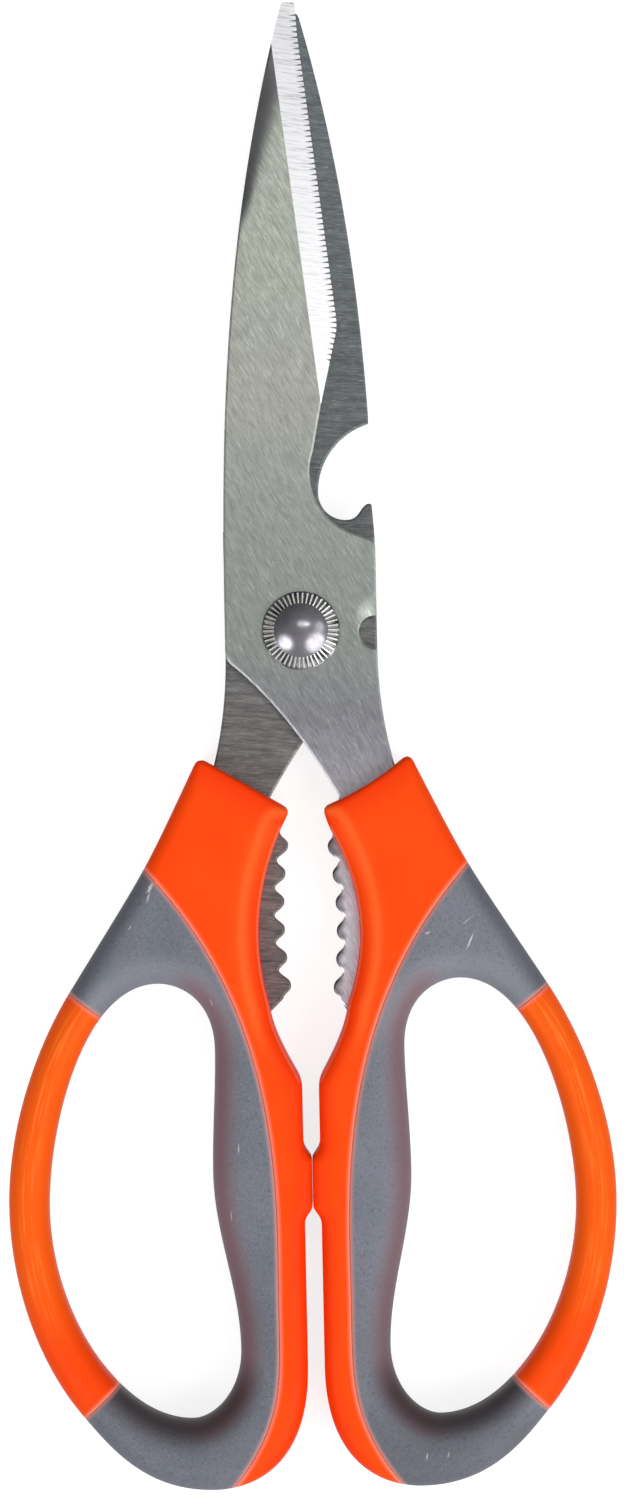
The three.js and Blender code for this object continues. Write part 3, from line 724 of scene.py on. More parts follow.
def edge_at(height):
    return np.array([TIP_EDGE + edge_slope * (BLADE_REACH - height), height])


def spine():
    share = np.linspace(1.0, 0.0, 60)
    return np.column_stack([-(SHOULDER - (SHOULDER - TIP_SPINE) * share**SPINE_POWER), BLADE_REACH * share])


def teeth(jaw):
    """A jaw's row of rounded teeth."""
    top, tips, depth, hollow, lean = jaw
    share = np.linspace(0.0, 1.0, TOOTH_COUNT * TOOTH_STEPS + 1)
    row = tips + hollow * (1 - (2 * share - 1) ** 2) + lean * share
    wave = (1 + np.cos(2 * math.pi * TOOTH_COUNT * share)) / 2
    return np.column_stack([row + depth * wave**TOOTH_POWER, -top - jaw_length * share])


def lower_outline(jaw):
    """From the spine's foot round the tang to the shoulder."""
    bulge = bezier(jaw_toe + (TOE_WIDTH, 0.0), *TANG_BULGE, tang_outer, 24)
    return join(
        [SPINE_FOOT], quadratic(SPINE_FOOT, TANG_BEND, tang_inner), teeth(jaw), [jaw_toe], bulge,
        quadratic(tang_outer, SHOULDER_BEND, SHOULDER_FOOT),
    )


def front_outline():
    """The front blade in plan, and the wire notch in its side."""
    relief = arc((SHOULDER, RELIEF_HEIGHT), *RELIEF)
    exit_heading = direction(RELIEF_EXIT)
    corner = relief[0] + exit_heading * (SHOULDER - relief[0][0]) / exit_heading[0]
    mouth = math.degrees(math.acos(NOTCH_INSET / NOTCH_RADIUS))
    notch = arc((SHOULDER - NOTCH_INSET, NOTCH_HEIGHT), NOTCH_RADIUS, 360.0 - mouth, mouth, 36)
    outline = join(
        spine(), lower_outline(FRONT_JAW), notch, [corner], relief, [BEVEL_END], [EDGE_HEEL],
        [edge_at(EDGE_TURN)], [TIP_TURN], [FRONT_TIP],
    )
    for place, reach in (
        (corner, 1.0), (SPINE_FOOT, 1.2), (EDGE_HEEL, 1.4), ((-TIP_SPINE, BLADE_REACH), 0.5), (FRONT_TIP, 0.5),
    ):
        outline = soften(outline, place, reach)
    return outline, notch


def rear_outline():
    """The rear blade in plan, with the bottle opener in its spine."""
    lip, throat = (
        arc((-OPENER_DEPTH - turn[0], OPENER_HEIGHT), *turn) for turn in (OPENER_LIP, OPENER_THROAT)
    )
    spine_points = spine()
    spine_points = spine_points[spine_points[:, 1] < REAR_REACH]
    cut = spine_points[spine_points[:, 1] > lip[0][1]]
    low = spine_points[spine_points[:, 1] < OPENER_FOOT_HEIGHT]
    hook = [(reach - SHOULDER, height) for reach, height in OPENER_HOOK]
    foot, tip = edge_at(EDGE_FOOT_HEIGHT), edge_at(REAR_REACH)
    outline = join(cut, lip, throat, hook, low, lower_outline(REAR_JAW), [REAR_HEEL], [foot], [tip])
    for place, reach in (*((corner, 0.3) for corner in hook), (SPINE_FOOT, 1.2), (cut[0], 0.9), (tip, 0.4)):
        outline = soften(outline, place, reach)
    return outline


def toothed_edge(outline):
    """The front blade's outline in two runs: the toothed edge from its foot to the tip, and the rest."""
    ring = resample(outline, spacing=0.1)
    toothed = (ring[:, 0] > 0.0) & (ring[:, 1] > SERRATION_END_HEIGHT) & (ring[:, 1] < SERRATION_TOP)
    first = int(np.flatnonzero(toothed & ~np.roll(toothed, 1))[0])
    ring = np.roll(ring, -first, axis=0)
    count = int(toothed.sum())
    return ring[:count], np.vstack([ring[count:], ring[:1]])


def serrations(run):
    """For each groove: its place on the edge, the directions along it and inward, its share of length."""
    lengths = travelled(run)

    def at(place):
        return np.array([np.interp(place, lengths, run[:, k]) for k in (0, 1)])

    found = []
    for place in np.arange(SERRATION_PITCH / 2, lengths[-1], SERRATION_PITCH):
        along = at(place + 0.2) - at(place - 0.2)
        along /= np.linalg.norm(along)
        point = at(place)
        fade = np.interp(point[1], [SERRATION_END_HEIGHT, EDGE_HEEL[1]], [0.5, 1.0])
        found.append((point, along, np.array([-along[1], along[0]]), fade))
    return found


def groove_lines(groove):
    """The bottom of a groove and its two sides in plan, all from the edge to the groove's end."""
    start, along, inward, fade = groove
    return [
        np.array([
            start + inward * max(SERRATION_LENGTH * fade * v, SERRATION_NICK if u == 0 else 0.0)
            + along * u * SERRATION_HALF_WIDTH * (1.0 - v)
            for v in (0.0, 0.45, 0.8, 1.0)
        ])
        for u in (-1, 0, 1)
    ]


def groove_drop(points, grooves):
    drop = np.zeros(len(points))
    for start, along, inward, fade in grooves:
        offset = points - start
        near = np.abs(offset).max(axis=1) < 2.0
        u, v = offset[near] @ along, offset[near] @ inward
        taper = np.clip(1.0 - v / (SERRATION_LENGTH * fade), 0.0, 1.15)
        width = np.maximum(SERRATION_HALF_WIDTH * taper, 1e-6)
        depth = SERRATION_DEPTH * taper * fading(np.abs(u), width)
        drop[near] = np.maximum(drop[near], depth)
    return drop


def bevel_axes():
    """The foot and the tip of the cutting edge, and the directions along it and inward."""
    foot, tip = edge_at(EDGE_FOOT_HEIGHT), edge_at(BLADE_REACH)
    along = (tip - foot) / np.linalg.norm(tip - foot)
    return foot, tip, along, np.array([-along[1], along[0]])


def bevel_height(points):
    foot, _, along, inward = bevel_axes()
    depth = (points - foot) @ inward
    slope = EDGE_LAND + np.maximum(depth, 0.0) * (BLADE_THICKNESS - EDGE_LAND) / BEVEL_WIDTH
    return np.where((points - foot) @ along < -0.01, BLADE_THICKNESS, slope)


def bevel_line():
    """The bevel's upper border, run out past the foot and the tip."""
    foot, tip, along, inward = bevel_axes()
    return np.array([foot - inward, foot + inward * BEVEL_WIDTH, tip + inward * BEVEL_WIDTH + 3 * along])


def spine_gap(points):
    share = np.clip(points[:, 1] / BLADE_REACH, 0.0, 1.0)
    return points[:, 0] + SHOULDER - (SHOULDER - TIP_SPINE) * share**SPINE_POWER


def swage_share(points):
    """How far into the soft hollow along the spine near the tip: 1 at the spine, 0 outside it."""
    width = np.interp(points[:, 1], SWAGE_HEIGHTS, SWAGE_WIDTHS)
    begun = smooth(points[:, 1], SWAGE_HEIGHTS[0], SWAGE_HEIGHTS[2])
    return fading(spine_gap(points), width) * begun


def swage_drop(points):
    """The hollow's depth, which runs out before the ground bevel."""
    line = bevel_line()[1:]
    bevel_x = np.interp(points[:, 1], line[:, 1], line[:, 0])
    spine_x = points[:, 0] - spine_gap(points)
    room = np.clip((bevel_x - points[:, 0]) / np.maximum(bevel_x - spine_x, 0.05), 0.0, 1.0)
    wide = smooth(bevel_x - spine_x, 0.8, 3.0)
    return SWAGE_DEPTH * wide * np.minimum(swage_share(points), room) ** 2


def notch_share(place):
    """How wide the wire notch's facet is: 0 up to the deepest place, then rising to 1 at the mouth."""
    return smooth(place / place.max(), 0.5, 1.0)


def notch_rows(notch):
    """Rows of points along the facet in plan."""
    share = notch_share(np.linspace(0.0, 1.0, len(notch)))
    outward = offset_points(notch, 1.0, closed=False) - notch
    return [
        (notch + outward * (NOTCH_FACET_WIDTH * part * share)[:, None])[share > 0.02]
        for part in (0.12, 0.3, 0.5, 0.75, 1.0)
    ]


def notch_drop(points, notch):
    """The facet along the upper side of the wire notch, wider and deeper towards its mouth."""
    gap, place = nearest(points, notch)
    share = notch_share(place)
    width = np.maximum(NOTCH_FACET_WIDTH * share, 1e-6)
    return NOTCH_FACET_DEPTH * share * fading(gap, width) ** NOTCH_FACET_POWER


def blade(name, outline, jaw, notch, materials, place):
    """A blade's mesh. Only the front one has a wire notch, and with it the serrations and the swage."""
    front = notch is not None
    creases = [resample(bevel_line(), spacing=0.8, closed=False)]
    if front:
        run, rest = toothed_edge(outline)
        grooves = serrations(run)
        marks = [line for groove in grooves for line in groove_lines(groove)]
        rest = resample(rest, BLADE_SPACING, closed=False)
        ring = np.vstack([[line[0] for line in marks], rest])
        creases += marks
    else:
        ring = rest = resample(outline, BLADE_SPACING)
    groups = [(offset_points(rest, CHAMFER_WIDTH, closed=not front), 0.1)]
    low, high = ring.min(axis=0), ring.max(axis=0)
    if front:
        groups += [(row, 0.1) for row in notch_rows(notch)]
        fine = grid(low, high, spacing=0.55)
        on_swage = (fine[:, 1] > SWAGE_HEIGHTS[0] - 2.0) & (spine_gap(fine) < SWAGE_WIDTHS[-1])
        groups.append((fine[on_swage], 0.3))
    groups.append((grid(low, high, spacing=1.1), 0.4))
    points = thinned(groups)
    points = points[inside(points, ring)]
    if front:
        points = points[distance(points, np.array([line[-1] for line in marks])) > 0.25]
        points = points[distance(points, run) > SERRATION_LENGTH]
    places, faces = triangulated(points, [ring], creases)
    gap = distance(places, ring, closed=True)
    top = BLADE_THICKNESS - CHAMFER * fading(gap, CHAMFER_WIDTH)
    bottom = np.maximum(0.0, BACK_CHAMFER - gap)
    ground = bevel_height(places[faces].mean(axis=1)) < BLADE_THICKNESS
    top = np.minimum(top, bevel_height(places))
    if front:
        top = np.minimum(top, BLADE_THICKNESS - swage_drop(places))
        top = np.minimum(top, BLADE_THICKNESS - notch_drop(places, notch))
        top = top - groove_drop(places, grooves)
    top = np.maximum(top, LEAST_TOP)
    bottom = np.minimum(bottom, top - LEAST_WALL)
    points, all_faces, used = plate(places, faces, top + BLADE_LOW, bottom + BLADE_LOW)
    slots = [*ground, *([0] * (len(all_faces) - len(ground)))]
    obj = add_object(name, place(points), all_faces, materials, slots)
    obj.data.set_sharp_from_angle(angle=math.radians(9.0))
    twice = np.concatenate([used, used])
    corners = places[twice]
    jaw_gap = distance(corners, np.vstack([teeth(jaw), [jaw_toe]]))
    if front:
        # Painted shade on the swage's hollow near the tip
        give(obj, "swage", 0.95 * smooth(swage_share(corners), 0.0, 0.75))
        # Painted shade in the serration grooves, darker where they are deeper
        give(obj, "groove", np.clip(2.2 * groove_drop(corners, grooves) / SERRATION_DEPTH, 0.0, 0.85))
        # Painted shade along the front blade's teeth, strongest between them
        turn = 2 * math.pi * (-jaw[0] - corners[:, 1]) / TOOTH_PITCH
        tips = smooth(np.cos(turn), 0.9, -0.1)
        give(obj, "tooth_edge_shade", tips * smooth(jaw_gap, 0.5, 0.2))
    else:
        # Painted shade along the rear blade's teeth
        give(obj, "tooth_edge_shade", 0.7 * smooth(jaw_gap, 0.4, 0.1))
    return obj


# Handle, in a half's own frame
crown = (LOOP_CROWN_X, -52.4, 180.0, 11.1, 3.0)
throat_knot = (14.2, -62.6, -90.0, 8.0, 5.5)
waist = (14.85, -81.0, -90.0, 6.4, 9.0)
heel_knot = (11.2, -107.2, -90.0, 8.9, 7.0)
base = (18.6, -117.8, 0.0, 3.0, 11.0)
outer = (LOOP_REACH, -86.0, 90.0, 15.7, 12.5)
loop_lower = bend(base, outer, 200)
loop_upper = bend(outer, crown, 200)


def bow_cut(curve, share, width):
    """Points inside the loop, on the handle's rim and outside it, across the bow."""
    i = round(share * (len(curve) - 1))
    tangent = curve[i + 1] - curve[i - 1]
    tangent /= np.linalg.norm(tangent)
    outward = np.array([tangent[1], -tangent[0]])
    return [curve[i] + outward * reach for reach in (-width, width, width + SEAM_OVERRUN)]


bow_head = bow_cut(loop_upper, BOW_HEAD_AT, BOW_WIDTH)
bow_foot = bow_cut(loop_lower, BOW_FOOT_AT, BOW_FOOT_WIDTH)
arm_start = (*neck_outer, -63.7, 0.0, 20.2)
arm_end = (*bow_head[1], -57.3, 24.5, 9.3)
bow_turn = (LOOP_REACH + BOW_WIDTH, -85.5, -90.0, 12.0, 12.9)
bow_end = (*bow_foot[1], -130.9, 9.3, 5.0)
base_turn = (15.6, -128.2, 180.0, 10.6, 6.9)
strip_foot = (HANDLE_SIDE, STRIP_FOOT_HEIGHT, 90.0, 13.8, 0.0)
arm_curve = bend(arm_start, arm_end, 100)
base_curve = bend(base_turn, strip_foot, 100)
recess_foot = np.array([TOOTH_TIPS + 2.7, -JAW_TOP - jaw_length - 0.9])
recess_head = np.array([TOOTH_TIPS + 0.5, neck_inner[1] - 3.0])
strip = np.array([
    (HANDLE_SIDE, STRIP_FOOT_HEIGHT), (HANDLE_SIDE, -87.95), (STOP_SIDE, -86.25), (STOP_SIDE, -78.95),
    (HANDLE_SIDE, -77.25), (HANDLE_SIDE, -67.3),
])
mouth_middle = (neck_inner + neck_outer) / 2


def recess_line(side):
    """From the inner strip up round the recess beside the teeth."""
    deepest = (RECESS_REACH[side], (recess_foot[1] + recess_head[1]) / 2)
    return np.vstack([
        quadratic(strip[-1], (recess_foot[0], recess_foot[1] - 3.5), recess_foot),
        quadratic(recess_foot, deepest, recess_head)[1:],
    ])


def handle_rim(side, recess):
    lip = neck_inner - MOUTH_LIP[side] * NECK_ACROSS
    mouth = quadratic(lip, mouth_middle + 2 * MOUTH_SAG[side] * NECK_ALONG, neck_outer)
    rim = join(
        arm_curve, bend(arm_end, bow_turn), bend(bow_turn, bow_end), bend(bow_end, base_turn), base_curve,
        strip, recess, mouth[:-1],
    )
    for corner, reach in (
        (neck_outer, 1.3), (lip, 1.1), (strip[1], 0.8), (strip[2], 0.5), (strip[3], 0.5),
        (strip[4], 0.8), (strip[5], 1.4), (recess_foot, 1.2), (recess_head, 0.8),
    ):
        rim = soften(rim, corner, reach)
    return rim


# Places on the handle's rim and on the finger loop, with how far in and how deep the edge is rounded there
rim_rounding = [
    (mouth_middle, 0.7, 0.6), (neck_outer + (-0.6, -0.4), 0.9, 0.8), (arm_curve[8], 2.2, 2.2),
    (arm_curve[46], 2.4, 2.3), (arm_curve[58], 3.6, 2.9), (arm_curve[96], 3.5, 3.0),
    (bend(arm_end, bow_turn)[6], 3.2, 3.3), (bow_turn[:2], 3.2, 3.3), (bow_end[:2], 3.2, 3.3),
    (bend(bow_end, base_turn)[12], 3.5, 3.2),
    (base_turn[:2], 3.5, 3.2), (base_curve[60], 2.6, 2.6), (strip[0], 2.2, 2.3), (strip[1], 2.0, 2.0),
    (strip[2], 1.4, 1.5), (strip[3], 1.4, 1.5), (strip[4], 1.8, 1.8), (strip[5], 2.3, 2.0),
    ((6.5, -53.0), 2.8, 2.2), ((6.3, -35.0), 2.9, 2.2), (recess_head, 2.0, 1.8), (neck_inner, 1.1, 1.0),
]
loop_rounding = [
    (crown[:2], 4.6, 3.8), (bend(crown, throat_knot)[20], 4.8, 4.2), (throat_knot[:2], 5.2, 4.6),
    (waist[:2], 5.2, 4.6), (heel_knot[:2], 5.4, 4.7), (base[:2], 6.0, 4.9), (loop_lower[40], 5.4, 4.5),
    (loop_lower[76], 3.4, 3.3), (outer[:2], 3.1, 3.3), (loop_upper[128], 3.2, 3.3),
    (loop_upper[150], 3.8, 3.5), (loop_upper[178], 4.4, 3.7),
]


def edge_drop(points, ring, rounding):
    """How far the surface has fallen where it rounds over towards a closed edge."""
    gap, place = nearest(points, ring, closed=True)
    total = np.linalg.norm(np.roll(ring, -1, axis=0) - ring, axis=1).sum()
    anchors = nearest(np.array([r[0] for r in rounding]), ring, closed=True)[1]
    order = np.argsort(anchors)
    reach = np.interp(place, anchors[order], np.array([r[1] for r in rounding])[order], period=total)
    depth = np.interp(place, anchors[order], np.array([r[2] for r in rounding])[order], period=total)
    return rounding_drop(gap, reach, depth)


def half_thickness(points):
    bow_share = smooth(points[:, 0], LOOP_CROWN_X, LOOP_REACH)
    thick = HALF_THICKNESS + (BOW_HALF_THICKNESS - HALF_THICKNESS) * bow_share
    along = np.clip((points @ NECK_ALONG - NECK_REACH) / NECK_TAPER, 0.0, 1.0)
    on_neck = smooth(points[:, 1], -60.0, -45.0)
    return thick - NECK_DROP * on_neck * (1.0 - along) ** 2


def seam_lines():
    """The lines in plan between the hard frame and the soft grip, each run out past the handle."""
    head_point, foot_point = arm_curve[50], base_curve[14]
    head = (*head_point, SEAM_HEAD_HEADING, 0.0, 30.8)
    turn = (HANDLE_SIDE + 4.15, -100.4, -90.0, 15.7, 11.7)
    foot = (*foot_point, SEAM_FOOT_HEADING, 13.1, 0.0)
    main = np.vstack([
        [head_point - SEAM_OVERRUN * direction(SEAM_HEAD_HEADING)], bend(head, turn), bend(turn, foot)[1:],
        [foot_point + SEAM_OVERRUN * direction(SEAM_FOOT_HEADING)],
    ])
    return resample(main, HANDLE_SPACING, closed=False), [
        resample(np.array([cut[0], cut[2]]), spacing=0.5, closed=False) for cut in (bow_head, bow_foot)
    ]


def frame_values(points, rim_gap, loop_gap, recess_gap):
    """What the hard plastic's material reads: the bow, painted shade at the mouth and along the strip, and a
    painted highlight along the recess's crest.
    """
    x, y = points.T
    # Painted shade where the neck slopes down to its mouth and along the strip's edge
    mouth = smooth(points @ NECK_ALONG - NECK_REACH, 5.0, 0.5) * smooth(y, -60.0, -45.0)
    inner = smooth(rim_gap, 3.2, 0.3) * smooth(x, 10.0, 6.5) * smooth(y, -38.0, -50.0)
    return {
        "from_loop": loop_gap,
        "bow": smooth(x, 27.0, 32.0) * smooth(y, -50.0, -58.0) * smooth(y, -108.0, -95.0),
        "deep": np.maximum(0.6 * mouth, 0.5 * inner),
        # Painted highlight along the rounded crest beside the recess
        "crest": 0.6 * smooth(np.abs(recess_gap - 2.6), 1.3, 0.0) * smooth(y, -66.0, -56.0),
    }


def grip_values(side, points, rim_gap, loop_gap):
    """What the soft plastic's material reads: painted shade along the loop's wall, the rim and the base, a
    painted highlight on the crown and a painted orange reflection on the wall.
    """
    x, y = points.T
    # Painted shade on the loop's inner wall, reddened as a painted reflection of the orange
    wall = smooth(loop_gap, 4.2, 1.0) * smooth(loop_gap, -1.2, 1.0)
    return {
        "wall": 0.75 * wall * smooth(x, 21.0, 16.0),
        # Painted shade along the arm's outer edge
        "outer": 0.55 * smooth(rim_gap, 3.2, 0.2) * smooth(y, -76.0, -66.0),
        # Painted highlight on the crown's slope
        "crown": 0.4 * smooth(loop_gap, 5.5, 2.0) * smooth(y, -66.0, -56.0),
        # Painted shade on the base's wall, and darker towards the bottom
        "foot": np.maximum.reduce([
            0.9 * smooth(loop_gap, 5.6, 0.6) * smooth(y, -106.0, -115.0),
            BASE_SHADE[side] * smooth(y, -112.0, -121.0),
            0.12 * smooth(y, -86.0, -102.0),
        ]),
    }


def handle(side, place, body, frame_material, grip_material):
    """A handle's hard frame and soft grip, cut from one surface along their seams."""
    recess = recess_line(side)
    rim = resample(handle_rim(side, recess), HANDLE_SPACING)
    loop = resample(join(
        bend(crown, throat_knot), bend(throat_knot, waist), bend(waist, heel_knot), bend(heel_knot, base),
        loop_lower, loop_upper,
    ), HANDLE_SPACING)
    main_seam, cuts = seam_lines()
    seams = [main_seam, *cuts]
    groups = []
    for line, rows in ((rim, RIM_ROWS), (loop, LOOP_ROWS)):
        for low, gap in zip((0.0, *rows), rows):
            moved = offset_points(line, -gap)
            clear = distance(moved, line, closed=True) > 0.9 * gap
            groups.append((moved[clear], 0.55 * (gap - low)))
    for seam in seams:
        for gap in SEAM_ROWS:
            groups += [(offset_points(seam, signed, closed=False), 0.07) for signed in (gap, -gap)]
    groups.append((grid(rim.min(axis=0), rim.max(axis=0), spacing=1.0), 0.6))
    groups.sort(key=lambda group: group[1])
    points = thinned(groups)
    points = points[within(points, [rim, loop])]
    places, faces = triangulated(points, [rim, loop], seams)
    region = np.vstack([
        main_seam, [(LOOP_REACH + BOW_WIDTH, main_seam[-1][1])], [bow_foot[2], bow_foot[0]],
        [bow_head[0], bow_head[2]],
    ])
    covered = inside(places[faces].mean(axis=1), region)
    drop = np.maximum(edge_drop(places, rim, rim_rounding), edge_drop(places, loop, loop_rounding))
    height = half_thickness(places) - drop
    seam_gap = np.min([distance(places, seam) for seam in seams], axis=0)
    loop_gap, rim_gap = distance(places, loop, closed=True), distance(places, rim, closed=True)
    recess_gap = distance(places, recess)
    # Painted highlight: a pale line along the seams and along the recess's edge
    line = np.maximum(1.3 - seam_gap / 0.42, 0.75 - np.abs(recess_gap - 0.24) / 0.22)
    on_frame = frame_values(places, rim_gap, loop_gap, recess_gap)
    on_grip = grip_values(side, places, rim_gap, loop_gap)
    for name, slot, chosen, reach, depth, material, values in (
        (f"{side}_handle_frame", "orange_plastic", ~covered, 0.4, 0.3, frame_material, on_frame),
        (f"{side}_soft_grip", "grey_rubber", covered, 0.5, 0.42, grip_material, on_grip),
    ):
        surface = np.maximum(height - rounding_drop(seam_gap, reach, depth), LEAST_HALF)
        corners, all_faces, used = plate(places, faces[chosen], surface, -surface)
        obj = add_object(f"{name}_moulding", place(corners), all_faces, [material])
        for kept, value in (*values.items(), ("seam", np.clip(line, 0.0, 1.0))):
            give(obj, kept, np.concatenate([value[used], value[used]]))
        dress(obj, name, body)


# Pivot, in the part's frame
DOME_LOW = 7.5
DOME_RADIUS = 4.05
DOME_LIP = 1.0
DOME_RISE = 1.2
STUD_RADIUS = 1.5
STUD_LENGTH = 4.0
WASHER_LOW = 6.3
WASHER_HIGH = 7.4
WASHER_BORE = 2.55
WASHER_RADIUS = 5.85
WASHER_RIM = 0.66
FLUTE_RADIUS = 5.68
FLUTE_COUNT = 46
FLUTE_STEPS = 12
FLUTE_DEPTH = 0.38
POST_PROFILE = (
    (0.0, 0.0), (4.45, 0.0), (4.62, 0.06), (4.7, 0.2), (4.7, 0.95), (4.6, 1.15), (4.4, 1.2), (2.5, 1.2),
    (2.5, 7.3), (2.4, 7.4), (1.55, 7.4), (1.55, 2.8), (0.0, 2.8),
)
SPRING_PROFILE = ((2.55, 1.3), (4.25, 1.6), (4.3, 1.65), (4.3, 1.95), (4.25, 2.0), (2.55, 1.7), (2.55, 1.3))


def dome_screw():
    radius = (DOME_RADIUS**2 + DOME_RISE**2) / (2 * DOME_RISE)
    slope = math.asin(DOME_RADIUS / radius)
    lip = DOME_LOW + DOME_LIP
    cap = []
    for k in range(28):
        angle = slope * (1 - k / 28)
        cap.append((radius * math.sin(angle), lip + radius * (math.cos(angle) - math.cos(slope))))
    stud_end = DOME_LOW - STUD_LENGTH
    return lathe([
        (0.0, stud_end), (STUD_RADIUS - 0.15, stud_end), (STUD_RADIUS, stud_end + 0.2),
        (STUD_RADIUS, DOME_LOW), (DOME_RADIUS - 0.12, DOME_LOW), (DOME_RADIUS, DOME_LOW + 0.1), *cap,
        (0.0, lip + DOME_RISE),
    ], steps=96)


def fluted_ring():
    """The conical washer with its ridges, and for each corner its painted shade: how deep it lies between two
    ridges, full at the rim and by the dome.
    """
    columns = []
    for k in range(FLUTE_COUNT * FLUTE_STEPS):
        wave = 0.5 + 0.5 * math.cos(2 * math.pi * k / FLUTE_STEPS)
        valley = 1.0 - float(smooth(wave, 0.18, 0.66))
        column = [
            (WASHER_BORE, WASHER_LOW, 0.0), (WASHER_RADIUS - 0.1, WASHER_LOW, 0.0),
            (WASHER_RADIUS, WASHER_LOW + 0.06, 1.0), (WASHER_RADIUS, WASHER_LOW + 0.2, 1.0),
            (FLUTE_RADIUS, WASHER_LOW + 0.26, 1.0),
        ]
        for share in np.linspace(0.0, 1.0, 6):
            reach = FLUTE_RADIUS - 0.03 - share * (FLUTE_RADIUS - DOME_RADIUS + 0.15)
            height = WASHER_LOW + WASHER_RIM + share * 0.4 - FLUTE_DEPTH * valley * (1.0 - 0.5 * share)
            column.append((reach, height, valley))
        columns.append([*column, (DOME_RADIUS - 0.4, WASHER_HIGH, 1.0), (WASHER_BORE, WASHER_HIGH, 1.0)])
    rows = np.array(columns).swapaxes(0, 1)
    points, faces = turned(rows[:, :, :2], closed=True)
    return points, faces, rows[:, :, 2].ravel()


def pivot_pieces(dome, fluted, polished, dark):
    *washer, valleys = fluted_ring()
    for name, (points, faces), material, slot in (
        ("pivot_screw", dome_screw(), dome, "polished_steel"),
        ("fluted_washer", washer, fluted, "polished_steel"),
        ("pivot_post", lathe(POST_PROFILE, steps=72), polished, "polished_steel"),
        ("tension_washer", lathe(SPRING_PROFILE, steps=72), dark, "rear_steel"),
    ):
        obj = add_object(f"{name}_turned", points, faces, [material])
        if name == "fluted_washer":
            give(obj, "valley", valleys)
        obj.data.set_sharp_from_angle(angle=math.radians(34.0))
        dress(obj, name, "front_half")


# The object. A blade's tones are (height along the blade, colour)
FRONT_TONES = [
    (-52.0, (0.856, 0.792, 0.867)), (-38.0, (0.813, 0.749, 0.824)), (-21.0, (0.46, 0.449, 0.492)),
    (-13.0, (0.342, 0.342, 0.374)), (-2.0, (0.396, 0.428, 0.396)), (16.0, (0.449, 0.482, 0.449)),
    (35.0, (0.578, 0.589, 0.535)), (58.0, (0.621, 0.669, 0.578)), (80.0, (0.621, 0.669, 0.589)),
]
# The rear blade's tones are darker: partly its own blue-grey finish, partly painted shade
REAR_TONES = [
    (-52.0, (0.348, 0.27, 0.258)), (-30.0, (0.348, 0.306, 0.294)), (-10.0, (0.312, 0.3, 0.288)),
    (10.0, (0.24, 0.258, 0.258)), (90.0, (0.24, 0.276, 0.288)),
]
front_steel = brushed_steel(
    "front_steel", FRONT_TONES, grain=117.0, streak=(3.0, 0.4), contrast=0.34, calm=0.4,
    scratch=(1.0, 1.0, 0.88), roughness=0.42)
rear_steel = brushed_steel(
    "rear_steel", REAR_TONES, grain=-4.0, streak=(6.0, 0.45), contrast=0.5, calm=1.0,
    scratch=(0.5, 0.51, 0.5), roughness=0.42)
polished = polished_steel("polished_steel", (0.86, 0.85, 0.87), (0.7, 0.69, 0.72), (0.15, 0.24))
# Painted shade: the dome's steel is far darker than the other polished steel, standing in for the dark
# surroundings it reflects
dome_steel_painted_dark = polished_steel("dome_steel_painted_dark", (0.33, 0.32, 0.35), (0.24, 0.23, 0.26), (0.18, 0.26))
fluted_steel = polished_steel("fluted_steel", (0.98, 0.98, 0.97), (0.6, 0.6, 0.59), (0.2, 0.3), fluted=True)
orange = orange_plastic()
# The right grip's greys are set lighter than the left's: painted light, for the stronger light on the right
right_grey = grey_rubber("right_grey_rubber", (0.15, 0.165, 0.2), (0.185, 0.195, 0.235), [
    ((24.2, -46.9), 66.0, 1.3, 0.16, 0.85), ((23.7, -43.9), 40.0, 0.9, 0.1, 0.5),
    ((17.9, -45.5), 20.0, 0.4, 0.2, 0.6), ((16.2, -123.5), 80.0, 0.55, 0.14, 0.55),
    ((19.4, -123.3), 75.0, 0.45, 0.14, 0.45),
])
left_grey = grey_rubber("left_grey_rubber", (0.128, 0.145, 0.178), (0.16, 0.17, 0.205), [
    ((-23.3, -38.0), 60.0, 0.9, 0.3, 0.8), ((-23.6, -39.4), 75.0, 0.8, 0.18, 0.6),
    ((-26.4, -43.8), 60.0, 0.4, 0.12, 0.6), ((-10.9, -77.1), 88.0, 0.7, 0.11, 0.7),
    ((-12.2, -87.1), 92.0, 0.8, 0.1, 0.55), ((-14.5, -55.3), 110.0, 0.6, 0.1, 0.5),
])

front_rim, wire_notch = front_outline()
front_steels = [front_steel, ground_steel()]
front = blade("front_blade_ground", front_rim, FRONT_JAW, wire_notch, front_steels, set_upright)
dress(front, "front_blade", "front_half")
rear = blade("rear_blade_ground", rear_outline(), REAR_JAW, None, [rear_steel, rear_steel], turned_over)
dress(rear, "rear_blade", "rear_half")
handle("right", set_upright, "front_half", orange, right_grey)
handle("left", turned_over, "rear_half", orange, left_grey)
pivot_pieces(dome_steel_painted_dark, fluted_steel, polished, rear_steel)


# Floor, light and camera: lengths in metres
FLOOR_SQUARE = ((-3000.0, -3000.0), (3000.0, -3000.0), (3000.0, 3000.0), (-3000.0, 3000.0))  # in millimetres
FLOOR_GLOW = 0.8  # only in the picture and in reflections: it lights nothing else
PHOTO_LENS = 135.0
PHOTO_SENSOR = 36.0
PHOTO_HEIGHT = 0.225  # what the picture's height covers, between the blades
PHOTO_MIDDLE = (0.00188, -0.01792)
PHOTO_TURN = -1.2


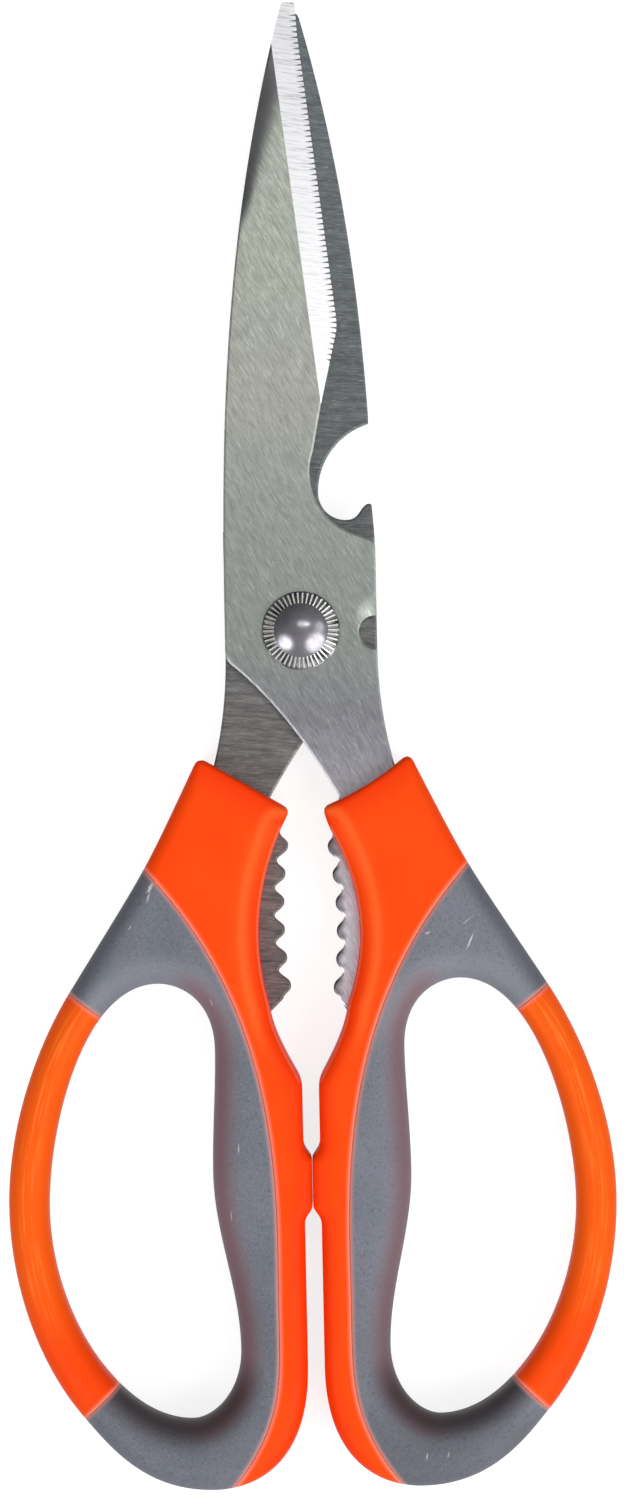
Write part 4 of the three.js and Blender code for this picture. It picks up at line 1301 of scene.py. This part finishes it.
def floor():
    material, tree, shader = new_material("floor_white")
    shader.inputs["Base Color"].default_value = (0.4, 0.4, 0.4, 1.0)
    shader.inputs["Roughness"].default_value = 0.9
    shader.inputs["Specular IOR Level"].default_value = 0.0
    rays = add_node(tree, "LightPath")
    seen = math_node(tree, "MAXIMUM", rays.outputs["Is Camera Ray"], rays.outputs["Is Glossy Ray"])
    seen = math_node(tree, "MAXIMUM", seen, rays.outputs["Is Transmission Ray"])
    shader.inputs["Emission Color"].default_value = (1.0, 1.0, 1.0, 1.0)
    link(tree, times(tree, seen, FLOOR_GLOW), shader.inputs["Emission Strength"])
    corners = [(*corner, FLOOR_HEIGHT) for corner in FLOOR_SQUARE]
    add_object("floor", corners, [(0, 1, 2, 3)], [material])


def soft_box(name, place, aim, width, depth, radiance):
    light = bpy.data.lights.new(name, "AREA")
    light.shape = "ELLIPSE"
    light.size, light.size_y = width, depth
    light.energy = radiance * math.pi * (math.pi / 4 * width * depth)
    obj = placed(name, light)
    obj.location = place
    obj.rotation_euler = (Vector(aim) - Vector(place)).to_track_quat("-Z", "Y").to_euler()


def studio():
    """A soft surrounding light, stronger from the near right and weaker from the far left."""
    world = bpy.data.worlds.new("studio")
    world.use_nodes = True
    tree = world.node_tree
    source = add_node(tree, "TexCoord")
    toward = add_node(tree, "VectorMath")
    toward.operation = "DOT_PRODUCT"
    toward.inputs[1].default_value = (0.5, -0.6, 0.62)
    link(tree, source.outputs["Generated"], toward.inputs[0])
    background = tree.nodes["Background"]
    background.inputs["Color"].default_value = (1.0, 1.0, 1.0, 1.0)
    link(tree, remap(tree, toward.outputs["Value"], -0.3, 1.0, 0.2, 0.64), background.inputs["Strength"])
    bpy.context.scene.world = world


def camera():
    data = bpy.data.cameras.new("camera")
    data.lens = PHOTO_LENS
    data.sensor_width = PHOTO_SENSOR
    away = PHOTO_HEIGHT * PHOTO_LENS / PHOTO_SENSOR
    obj = placed("camera", data)
    obj.location = (*PHOTO_MIDDLE, away + SLIDING_PLANE * MM)
    obj.rotation_euler = (0.0, 0.0, math.radians(PHOTO_TURN))
    bpy.context.scene.camera = obj


floor()
soft_box("left_light", (-0.56, -0.42, 0.64), (0.0, 0.0, 0.0), 0.52, 0.5, 4.2)
soft_box("right_light", (0.51, -0.44, 0.68), (0.0, -0.03, 0.0), 0.76, 0.7, 3.1)
soft_box("top_light", (0.16, 0.32, 1.15), (0.16, 0.0, 0.0), 0.62, 0.14, 5.0)
soft_box("side_light", (0.72, 0.12, 0.74), (0.0, 0.03, 0.0), 0.42, 0.42, 1.3)
studio()
camera()
bpy.context.scene.view_settings.view_transform = "Standard"
